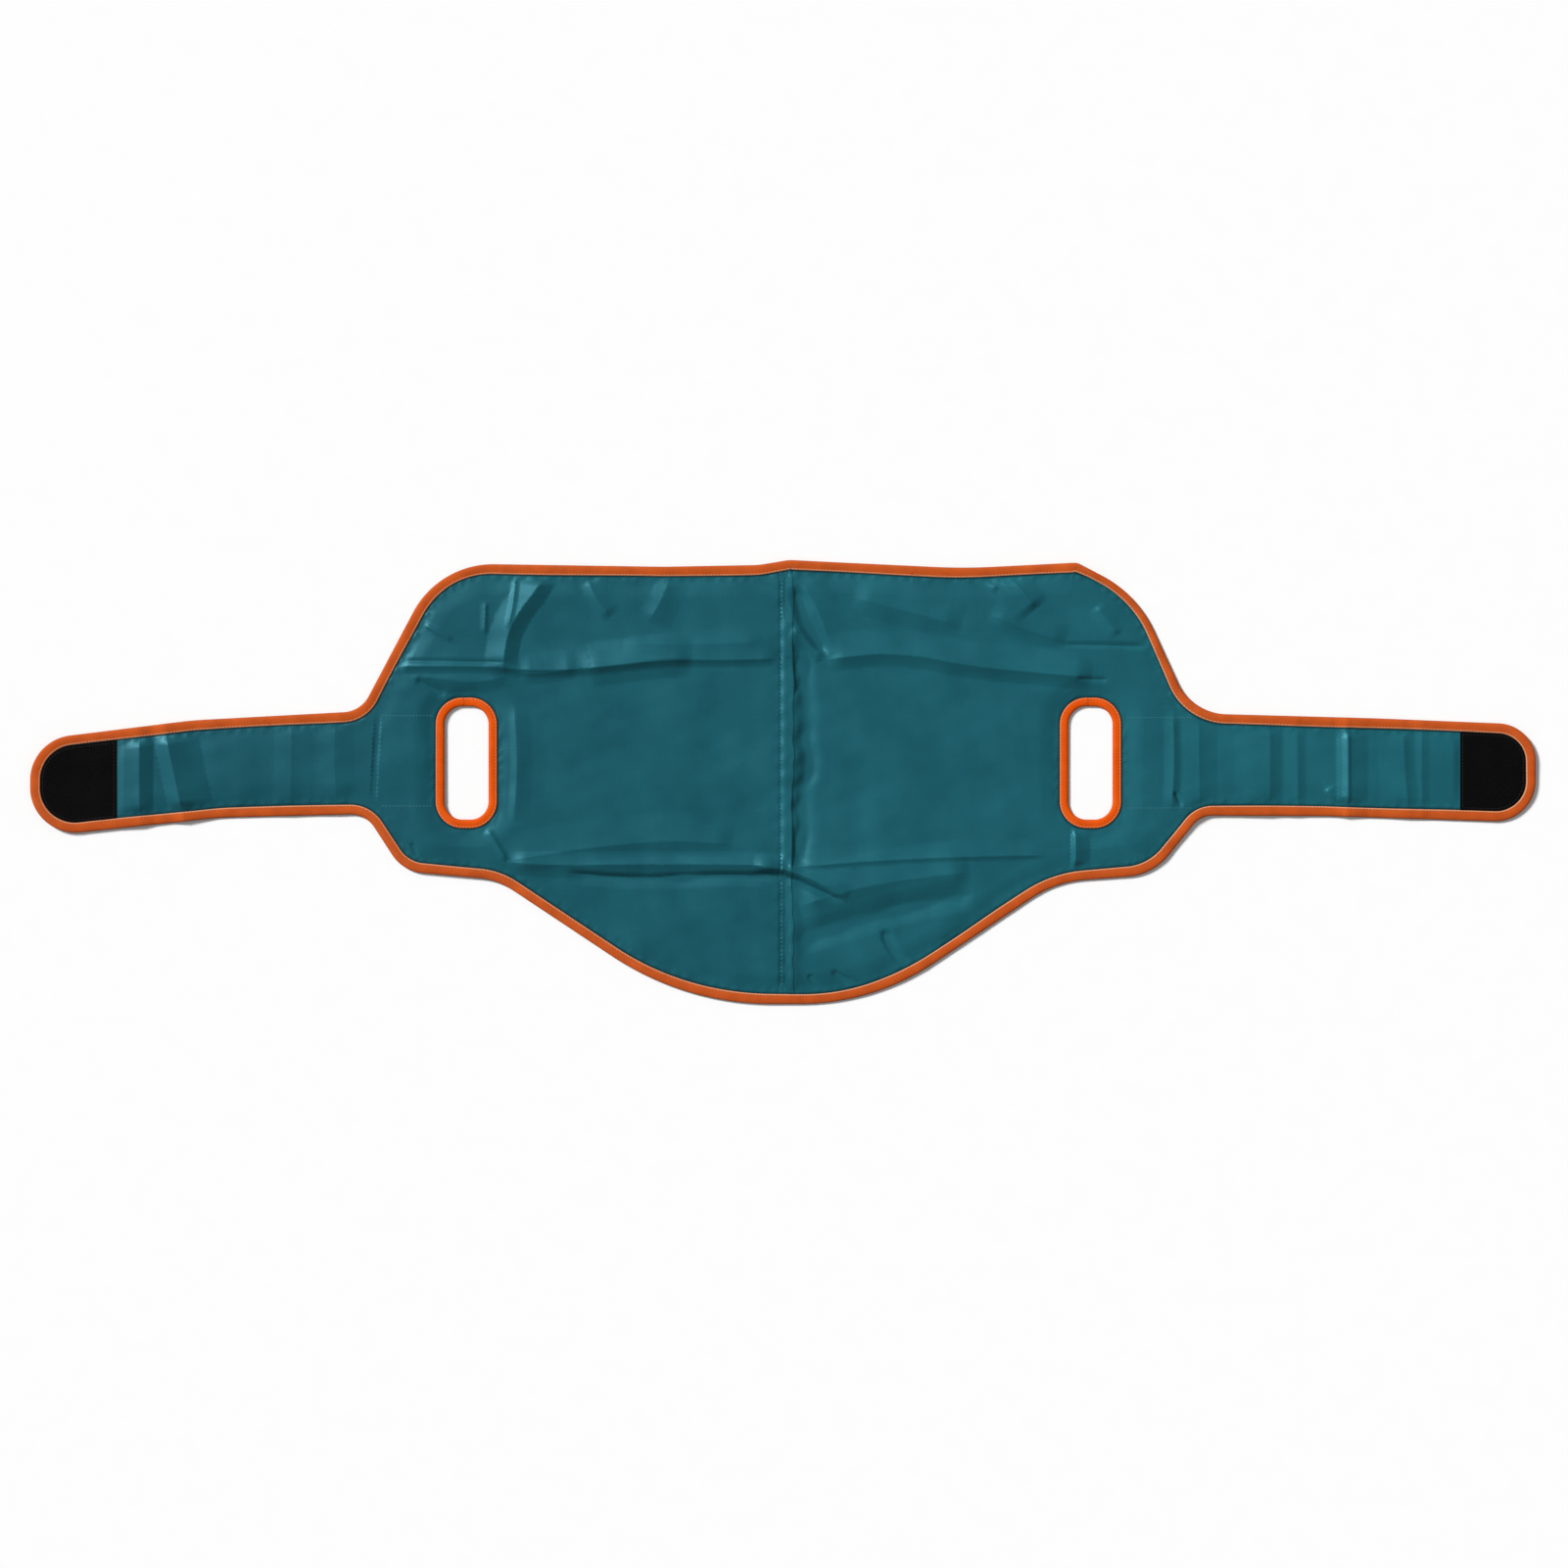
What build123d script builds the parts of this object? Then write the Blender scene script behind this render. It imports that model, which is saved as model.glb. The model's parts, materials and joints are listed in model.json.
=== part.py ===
from build123d import *
import os

# A transfer (gait) belt laid flat, face up. X runs along its length, Y up the wearer's back,
# Z out of the cloth. The origin is under the middle of the belt, on the surface it lies on.

# Layers, from the underside up
BINDING_PLY = 0.6
CLOTH_PLY = 0.4
WEBBING_PLY = 0.4
BACK_CLOTH_Z = BINDING_PLY
CORE_Z = BACK_CLOTH_Z + CLOTH_PLY
FRONT_CLOTH_Z = CORE_Z + WEBBING_PLY
FRONT_FACE_Z = FRONT_CLOTH_Z + CLOTH_PLY
THICKNESS = FRONT_FACE_Z + BINDING_PLY

# Tape folded over the edges
BINDING_WIDTH = 10.0
HANDLE_BINDING_WIDTH = 8.5
THREAD_WIDTH = 0.5
THREAD_HEIGHT = 0.2
THREAD_INSET = 0.8

# Upright fold lines, where one stretch of the belt bends on the next
BODIES = (
    "left_tip",
    "left_tail",
    "left_wing",
    "left_back",
    "right_back",
    "right_wing",
    "right_tail",
    "right_tip",
)
FOLD_LINES = (-595.0, -430.0, -250.0, 10.0, 250.0, 430.0, 595.0)
FOLD_GAP = 0.6
BEYOND = 900.0

# The outer edge: corner x, corner y, radius that rounds it
TOP_EDGE = (
    (-750.0, 41.5, 45.0),
    (-588.0, 61.5, 300.0),
    (-421.0, 70.5, 30.0),
    (-343.0, 218.0, 90.0),
    (-120.0, 214.5, 400.0),
    (-24.0, 216.3, 80.0),
    (6.0, 221.3, 40.0),
    (180.0, 213.0, 600.0),
    (293.0, 218.6, 12.0),
    (353.0, 187.5, 115.0),
    (407.5, 68.5, 55.0),
    (590.0, 63.5, 400.0),
    (750.0, 57.0, 38.0),
)
BOTTOM_EDGE = (
    (750.0, -40.5, 40.0),
    (540.0, -34.0, 400.0),
    (416.0, -33.5, 25.0),
    (369.0, -92.5, 58.0),
    (272.0, -100.0, 110.0),
    (89.5, -221.3, 240.0),
    (-99.0, -221.3, 290.0),
    (-285.0, -97.5, 70.0),
    (-379.0, -89.0, 40.0),
    (-416.0, -32.0, 28.0),
    (-560.0, -35.5, 300.0),
    (-750.0, -55.5, 45.0),
)

# Hand openings, clear size
OPENING_WIDTH = 44.0
OPENING_HEIGHT = 113.0
OPENING_RADIUS = 18.0
OPENING_Y = 19.0
OPENING_X = {"left": -315.5, "right": 306.5}

# Closure patches start here and run to the ends
PATCH_START = {"left": -664.0, "right": 675.0}
PATCH_THREAD_INSET = 2.5

# The strap's webbing, lapped between the body's two cloths, and the two rows that hold it
INSERT_X = {"left": (-424.0, -346.0), "right": (340.0, 424.0)}
INSERT_Y = (-29.0, 69.0)
INSERT_ROW_X = {"left": (-400.0, -349.0), "right": (342.0, 408.0)}
INSERT_ROW_Y = {"left": (-24.0, 66.0), "right": (-26.0, 64.0)}

# Felled centre seam: the edge of the right half is turned under the left half
SEAM_ALLOWANCE = 16.0
SEAM_ROW_X = -2.4


def strip(x_low, x_high, y_low=-BEYOND, y_high=BEYOND):
    """A rectangle between the given sides."""
    centre = Pos((x_low + x_high) / 2, (y_low + y_high) / 2)
    return centre * Rectangle(x_high - x_low, y_high - y_low)


def stretch(index):
    """The strip of the plane that holds one body's stretch of the belt."""
    edges = (-BEYOND, *FOLD_LINES, BEYOND)
    return strip(edges[index] + FOLD_GAP / 2, edges[index + 1] - FOLD_GAP / 2)


def row_inside(outline, inset):
    """The plan of a thread row that follows an outline, that far inside it."""
    return offset(outline, -inset) - offset(outline, -inset - THREAD_WIDTH)


def plate(sketch, bottom, thickness):
    """A flat layer cut to the sketch."""
    return Pos(0, 0, bottom) * extrude(sketch, thickness)


def folded_tape(edge_ring, leg_ring):
    """Tape folded round an edge: a spine at the edge and a leg on each face."""
    spine = plate(edge_ring, BINDING_PLY, THICKNESS - 2 * BINDING_PLY)
    under = plate(leg_ring, 0, BINDING_PLY)
    upper = plate(leg_ring, THICKNESS - BINDING_PLY, BINDING_PLY)
    return spine + under + upper


def thread_rows(row):
    """A lockstitch row sunk in the tape or patch, seen on both faces of the belt."""
    upper = plate(row, THICKNESS - THREAD_HEIGHT, THREAD_HEIGHT)
    under = plate(row, 0, THREAD_HEIGHT)
    return [*upper.solids(), *under.solids()]


def save(name, solids):
    """Writes one node, as one solid or a group of separate ones."""
    solids = list(solids)
    shape = solids[0] if len(solids) == 1 else Compound(children=solids)
    export_step(shape, f"parts/{name}.step")


os.makedirs("parts", exist_ok=True)

corners = TOP_EDGE + BOTTOM_EDGE
outer_edge = make_face(
    FilletPolyline(
        *[(x, y) for x, y, radius in corners],
        radius=[radius for x, y, radius in corners],
        close=True,
    )
)
cloth_edge = offset(outer_edge, -BINDING_PLY)
binding_inner_edge = offset(outer_edge, -BINDING_WIDTH)
thread_row = row_inside(outer_edge, BINDING_WIDTH - THREAD_INSET - THREAD_WIDTH)

# Each hand opening: the clear hole, the cloth's cut edge, and the tape's free edge
openings = {}
for side, x in OPENING_X.items():
    hole = Pos(x, OPENING_Y) * RectangleRounded(OPENING_WIDTH, OPENING_HEIGHT, OPENING_RADIUS)
    openings[side] = {
        "hole": hole,
        "cloth": offset(hole, BINDING_PLY),
        "tape": offset(hole, HANDLE_BINDING_WIDTH),
        "row": row_inside(offset(hole, HANDLE_BINDING_WIDTH), THREAD_INSET),
    }

cloth = cloth_edge - openings["left"]["cloth"] - openings["right"]["cloth"]

# The two cloths, the outer binding and its stitching, body by body
for index, body in enumerate(BODIES):
    here = stretch(index)
    save(f"{body}_front_cloth", plate(cloth & here, FRONT_CLOTH_Z, CLOTH_PLY).solids())
    save(f"{body}_back_cloth", plate(cloth & here, BACK_CLOTH_Z, CLOTH_PLY).solids())
    rows = thread_rows(thread_row & here)
    tape = folded_tape((outer_edge - cloth_edge) & here, (outer_edge - binding_inner_edge) & here)
    save(f"{body}_binding", (tape - rows).solids())
    save(f"{body}_binding_stitching", rows)

# Hand opening bindings
for side, opening in openings.items():
    rows = thread_rows(opening["row"])
    tape = folded_tape(opening["cloth"] - opening["hole"], opening["tape"] - opening["hole"])
    save(f"{side}_handle_binding", (tape - rows).solids())
    save(f"{side}_handle_stitching", rows)

# Closure patches, one on each face of each end
patch_strips = {
    "left": strip(-BEYOND, PATCH_START["left"]),
    "right": strip(PATCH_START["right"], BEYOND),
}
for side, patch_strip in patch_strips.items():
    outline = binding_inner_edge & patch_strip
    row = row_inside(outline, PATCH_THREAD_INSET)
    front_row = plate(row, THICKNESS - THREAD_HEIGHT, THREAD_HEIGHT)
    rear_row = plate(row, 0, THREAD_HEIGHT)
    front_patch = plate(outline, FRONT_FACE_Z, BINDING_PLY) - front_row
    rear_patch = plate(outline, 0, BINDING_PLY) - rear_row
    save(f"{side}_front_patch", front_patch.solids())
    save(f"{side}_front_patch_stitching", front_row.solids())
    save(f"{side}_rear_patch", rear_patch.solids())
    save(f"{side}_rear_patch_stitching", rear_row.solids())

# Strap webbing lapped into the body, and its two short rows
for side in ("left", "right"):
    insert = strip(*INSERT_X[side], *INSERT_Y)
    save(f"{side}_strap_insert", plate(insert, CORE_Z, WEBBING_PLY).solids())
    rows = [
        plate(
            strip(*INSERT_ROW_X[side], y - THREAD_WIDTH / 2, y + THREAD_WIDTH / 2),
            FRONT_FACE_Z,
            THREAD_HEIGHT,
        ).solid()
        for y in INSERT_ROW_Y[side]
    ]
    save(f"{side}_strap_insert_stitching", rows)

# Centre seam
seam_edge = FOLD_LINES[3] - FOLD_GAP / 2
allowance = strip(seam_edge - SEAM_ALLOWANCE, seam_edge) & cloth_edge
save("centre_seam_allowance", plate(allowance, CORE_Z, WEBBING_PLY).solids())
seam_row = strip(SEAM_ROW_X - THREAD_WIDTH / 2, SEAM_ROW_X + THREAD_WIDTH / 2) & binding_inner_edge
save("centre_seam_stitching", plate(seam_row, FRONT_FACE_Z, THREAD_HEIGHT).solids())
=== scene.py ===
import json
import math

import bpy
import numpy as np
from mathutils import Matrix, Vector, kdtree
from mathutils.geometry import delaunay_2d_cdt


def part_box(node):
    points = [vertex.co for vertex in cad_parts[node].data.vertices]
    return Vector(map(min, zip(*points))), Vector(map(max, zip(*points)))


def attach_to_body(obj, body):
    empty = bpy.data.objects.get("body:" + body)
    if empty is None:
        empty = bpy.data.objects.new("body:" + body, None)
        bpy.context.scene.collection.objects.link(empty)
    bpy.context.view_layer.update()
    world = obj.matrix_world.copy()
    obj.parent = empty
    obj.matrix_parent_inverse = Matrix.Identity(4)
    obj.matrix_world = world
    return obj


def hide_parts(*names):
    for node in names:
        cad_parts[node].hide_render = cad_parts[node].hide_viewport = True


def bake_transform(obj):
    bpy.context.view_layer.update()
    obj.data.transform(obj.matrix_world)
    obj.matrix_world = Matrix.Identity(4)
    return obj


# A cloth transfer belt laid flat, face up. Shapes are worked out in millimetres and turned into metres
# when a mesh is made.

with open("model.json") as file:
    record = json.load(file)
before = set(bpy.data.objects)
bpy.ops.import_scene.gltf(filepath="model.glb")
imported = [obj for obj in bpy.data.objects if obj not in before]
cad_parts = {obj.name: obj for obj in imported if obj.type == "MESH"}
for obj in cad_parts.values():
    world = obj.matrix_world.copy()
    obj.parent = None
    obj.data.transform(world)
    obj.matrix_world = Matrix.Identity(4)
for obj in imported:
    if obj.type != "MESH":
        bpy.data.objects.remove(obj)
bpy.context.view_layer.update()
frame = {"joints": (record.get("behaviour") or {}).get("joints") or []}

MM = 0.001
SEED = 11


def box_mm(node):
    """A CAD node's lowest and highest corners, in millimetres."""
    low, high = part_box(node)
    return np.array(low) / MM, np.array(high) / MM


# ---------------------------------------------------------------- sizes, mm

FOLD_X = {joint["name"]: joint["pos_m"][0] / MM for joint in frame["joints"]}
SEAM_X = FOLD_X["centre_seam_fold"]

# The outer edge, as the CAD has it: corner x, corner y, radius that rounds it
TOP_EDGE = (
    (-750.0, 41.5, 45.0),
    (-588.0, 61.5, 300.0),
    (-421.0, 70.5, 30.0),
    (-343.0, 218.0, 90.0),
    (-120.0, 214.5, 400.0),
    (-24.0, 216.3, 80.0),
    (6.0, 221.3, 40.0),
    (180.0, 213.0, 600.0),
    (293.0, 218.6, 12.0),
    (353.0, 187.5, 115.0),
    (407.5, 68.5, 55.0),
    (590.0, 63.5, 400.0),
    (750.0, 57.0, 38.0),
)
BOTTOM_EDGE = (
    (750.0, -40.5, 40.0),
    (540.0, -34.0, 400.0),
    (416.0, -33.5, 25.0),
    (369.0, -92.5, 58.0),
    (272.0, -100.0, 110.0),
    (89.5, -221.3, 240.0),
    (-99.0, -221.3, 290.0),
    (-285.0, -97.5, 70.0),
    (-379.0, -89.0, 40.0),
    (-416.0, -32.0, 28.0),
    (-560.0, -35.5, 300.0),
    (-750.0, -55.5, 45.0),
)

# Steps along the edge, and how many a bend is cut into at most
EDGE_STEP = 2.4
SHORTEST_STEP = 1.2
BEND_PARTS = 16.0

TAPE_WIDTH = 9.8
HANDLE_TAPE_WIDTH = 8.5
OPENING_RADIUS = 18.0

# Layers: each cloth's upper face, its thickness, how far inside the edge it is cut, and the limit above
FRONT_FACE = 1.8
LINING_FACE = 0.95
CLOTH = 0.4
CLOTH_CUT = 3.0
HIGHEST = 11.6

# Past either end of the belt
BEYOND = 900.0

# How far apart the points of each mesh are, how clear of other lines (CLEAR and SIDE_CLEAR as a share of
# that), and the triangular grid: its extent, its rows as a share of its spacing, and its columns in a bend
FRONT_SPACING = 2.4
LINING_SPACING = 6.0
PATCH_SPACING = 1.6
PLAIN_SPACING = 4.0
CREST_STEP = 2.0
CREST_SIDE = 1.0
CLEAR = 0.6
SIDE_CLEAR = 0.45
CREST_CLEAR = 0.75
CREST_TO_SIDE = 1.2
CREST_TO_TAPE = 1.5
GRID_X = (-760.0, 760.0)
GRID_Y = (-230.0, 232.0)
GRID_ROW = 0.866
BEND_COLUMNS = 20.0

# Stitches: their pitch, the length and radius of each row's, and how far their ends go down
STITCH_PITCH = 3.3
EDGE_STITCH = (2.8, 0.34)
HANDLE_STITCH = (2.7, 0.34)
PATCH_STITCH = (2.6, 0.3)
SEAM_STITCH = (2.5, 0.27)
INSERT_STITCH = (2.4, 0.26)
TAPE_DIP = 0.16
CLOTH_DIP = 0.12

# The rows on the folded tape: how far from its free edge, and height and dip on the front and the back
ROW_INSET = 1.1
ROW_LEVELS = ((2.36, TAPE_DIP), (0.27, 0.0))

# Where the cloth is cut into pieces, in the middle of a stretch that stays flat as the belt folds
SPLITS = (-512.0, -380.0, -120.0, 130.0, 380.0, 512.0)

# The bodies and the folds that join them, from left to right
BODIES = (
    "left_tip", "left_tail", "left_wing", "left_back",
    "right_back", "right_wing", "right_tail", "right_tip",
)
FOLDS = (
    "left_strap_end_fold", "left_strap_root_fold", "left_side_fold", "centre_seam_fold",
    "right_side_fold", "right_strap_root_fold", "right_strap_end_fold",
)
CENTRE = FOLDS.index("centre_seam_fold")

# How far the cloth bends to the left and to the right of each fold. The wide bend at the centre is
# nearly all on the side that turns, so that nothing dips below the floor.
BEND_LEFT = (10.0, 12.0, 18.0, 6.0, 12.0, 12.0, 10.0)
BEND_RIGHT = (10.0, 12.0, 12.0, 60.0, 18.0, 12.0, 10.0)
BENDS = tuple(
    (FOLD_X[fold] - left, FOLD_X[fold] + right) for fold, left, right in zip(FOLDS, BEND_LEFT, BEND_RIGHT)
)


# ---------------------------------------------------------------- small geometry

def smooth(value):
    """Smoothstep from 0 to 1."""
    t = np.clip(value, 0.0, 1.0)
    return t * t * (3.0 - 2.0 * t)


def unit(vectors):
    return vectors / np.maximum(np.linalg.norm(vectors, axis=-1, keepdims=True), 1e-9)


def left_of(ways):
    """Each direction turned a quarter turn to its left."""
    return np.column_stack([-ways[:, 1], ways[:, 0]])


def travelled(line):
    """How far along a line each of its points is."""
    return np.concatenate([[0.0], np.cumsum(np.linalg.norm(np.diff(line, axis=0), axis=1))])


def walk(line, along, places):
    """The points of a line at those places along it."""
    return np.stack([np.interp(places, along, line[:, k]) for k in (0, 1)], axis=-1)


def even_spots(line, step, look):
    """Evenly spaced places round a closed line: how far along, where, and which way it runs there."""
    line = np.vstack([line, line[:1]])
    along = travelled(line)
    places = np.linspace(0.0, along[-1], round(along[-1] / step) + 1)[:-1]
    spots = walk(line, along, places)
    return places, spots, unit(walk(line, along, places + look) - spots)


def search_tree(points):
    """A tree that finds the nearest of these points."""
    tree = kdtree.KDTree(len(points))
    for index, (x, y) in enumerate(points):
        tree.insert((x, y, 0.0), index)
    tree.balance()
    return tree


def mound(distance, reach):
    """1 at no distance, falling away on both sides."""
    return np.exp(-((distance / reach) ** 2))


def at_least(value, lowest, sharpness):
    """The value, eased so that it doesn't go below the lowest."""
    return lowest + np.log1p(np.exp(sharpness * (value - lowest))) / sharpness


def rounded_outline(corners, step):
    """Points along a closed outline of straight runs and rounded corners."""
    xy = np.array([corner[:2] for corner in corners])
    points = []
    for index, (_, _, radius) in enumerate(corners):
        here = xy[index]
        back = unit(xy[index - 1] - here)
        ahead = unit(xy[(index + 1) % len(xy)] - here)
        turn = math.acos(np.clip(-(back @ ahead), -1.0, 1.0))
        centre = here + unit(back + ahead) * radius / math.cos(turn / 2)
        spoke = here + back * radius * math.tan(turn / 2) - centre
        way = math.copysign(1.0, back[0] * ahead[1] - back[1] * ahead[0])
        parts = max(2, math.ceil(radius * turn / step))
        for part in range(parts + 1):
            angle = -way * turn * part / parts
            c, s = math.cos(angle), math.sin(angle)
            points.append(centre + (c * spoke[0] - s * spoke[1], s * spoke[0] + c * spoke[1]))
    return np.array(points)


class Edge:
    """The belt's outer edge as one closed line that starts where it crosses a split."""

    def __init__(self):
        loop = rounded_outline(TOP_EDGE + BOTTOM_EDGE, 1.0)
        start = max(i for i in range(len(loop)) if loop[i, 0] > SPLITS[2] and loop[i, 1] < 0)
        loop = np.roll(loop, -start - 1, axis=0)
        crossing = self.cross(loop[-1], loop[0], SPLITS[2])
        loop = np.vstack([crossing, loop, crossing])
        self.line = loop
        self.along = travelled(loop)
        self.length = self.along[-1]
        places = set(np.linspace(0.0, self.length, int(self.length / EDGE_STEP)))
        for split in SPLITS:
            places.update(self.crossings(split))
        for low, high in BENDS:
            for x in np.arange(low, high, max((high - low) / BEND_PARTS, SHORTEST_STEP)):
                places.update(self.crossings(x))
        self.places = np.array(sorted(places))
        self.points = self.at(self.places)
        self.inward = self.normal(self.places)
        self.dense_along = np.arange(0.0, self.length, 1.0)
        self.tree = search_tree(self.at(self.dense_along))

    @staticmethod
    def cross(low, high, x):
        share = (x - low[0]) / (high[0] - low[0])
        return low + (high - low) * share

    def crossings(self, x):
        before, after = self.line[:-1, 0], self.line[1:, 0]
        found = np.nonzero((before - x) * (after - x) < 0)[0]
        return [
            self.along[i] + (self.along[i + 1] - self.along[i]) * (x - before[i]) / (after[i] - before[i])
            for i in found
        ]

    def at(self, along):
        return walk(self.line, self.along, np.mod(along, self.length))

    def way(self, along, look):
        """The direction that the edge runs in."""
        return unit(self.at(along + look) - self.at(along - look))

    def normal(self, along):
        """The direction from the edge into the cloth."""
        return -left_of(self.way(along, 2.0))

    def inset(self, along, depth):
        """The points that are that far inside the edge."""
        return self.at(along) + self.normal(along) * depth

    def nearest(self, points):
        """How far each point is from the edge, and where along it."""
        found = [self.tree.find((x, y, 0.0)) for x, y in points]
        distance = np.array([f[2] for f in found])
        return distance, self.dense_along[[f[1] for f in found]]

    def runs(self, low, high):
        """The stretches of the edge between two x values, each as (along, points, inward)."""
        inside = (self.points[:, 0] >= low - 0.01) & (self.points[:, 0] <= high + 0.01)
        stretches = []
        indices = np.nonzero(inside)[0]
        for group in np.split(indices, np.nonzero(np.diff(indices) > 1)[0] + 1):
            if len(group) > 2:
                stretches.append((self.places[group], self.points[group], self.inward[group]))
        return stretches


edge = Edge()


class Opening:
    """A hand opening: a hole with rounded corners and tape folded over its edge."""

    def __init__(self, side):
        low, high = box_mm(f"{side}_handle_binding")
        self.centre = (low[:2] + high[:2]) / 2
        self.half = (high[:2] - low[:2]) / 2 - HANDLE_TAPE_WIDTH

    def distance(self, points):
        """How far each point is outside the clear hole."""
        from_core = np.abs(points - self.centre) - (self.half - OPENING_RADIUS)
        outside = np.linalg.norm(np.maximum(from_core, 0.0), axis=-1)
        return outside + np.minimum(from_core.max(axis=-1), 0.0) - OPENING_RADIUS

    def loop(self, step, out=0.0):
        """Points round the hole, that far outside its clear edge, and the direction into the cloth."""
        half = self.half + out
        radius = OPENING_RADIUS + out
        corners = [
            (self.centre[0] + half[0] * i, self.centre[1] + half[1] * j, radius)
            for i, j in ((-1, 1), (-1, -1), (1, -1), (1, 1))
        ]
        places, points, way = even_spots(rounded_outline(corners, 0.5), step, 0.5)
        return places, points, -left_of(way)


openings = {side: Opening(side) for side in ("left", "right")}


# ---------------------------------------------------------------- how the cloth lies

# Where the right shoulder's edge is rolled over: from x, to x, above y, and how much tape it hides
ROLLED = (285.0, 410.0, 60.0, 2.2)
TAPE_WANDER = 0.35

# How far the whole belt stands off the floor: ripples, the curl of its two ends, and two swells, at the
# right shoulder and at the seam's top, as x, y, half length, half width, tilt and height
RIPPLE = 0.55
CURL_X = 690.0
CURL_REACH = 60.0
LEFT_CURL = 2.2
RIGHT_CURL = 1.7
RAISED = ((300.0, 215.0, 40.0, 40.0, 0.0, 1.6), (5.0, 220.0, 35.0, 30.0, 0.0, 1.2))
STRAP_LIFT = 0.55


def tape_width(points):
    """The tape shows less where the right shoulder's edge is rolled over."""
    x, y = points[:, 0], points[:, 1]
    start, end, above, hidden = ROLLED
    rolled = smooth((x - start) / 25.0) * smooth((end - x) / 50.0) * (y > above)
    return TAPE_WIDTH + TAPE_WANDER * np.sin(x / 31.0 + y / 23.0) - hidden * rolled


def lift(points):
    """How far the whole belt stands off the floor."""
    x, y = points[:, 0], points[:, 1]
    total = RIPPLE * (1.0 + np.sin(x / 61.0 + 0.8) * np.cos(y / 97.0 + 0.4))
    total += LEFT_CURL * smooth((-x - CURL_X) / CURL_REACH)
    total += RIGHT_CURL * smooth((x - CURL_X) / CURL_REACH) * smooth((y + 60.0) / 110.0)
    for swell in RAISED:
        total += swell_height(points, *swell)
    for height, *shape in STRAP_FOLDS:
        total += crease_height(points, STRAP_LIFT * height, *shape)
    return total


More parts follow.
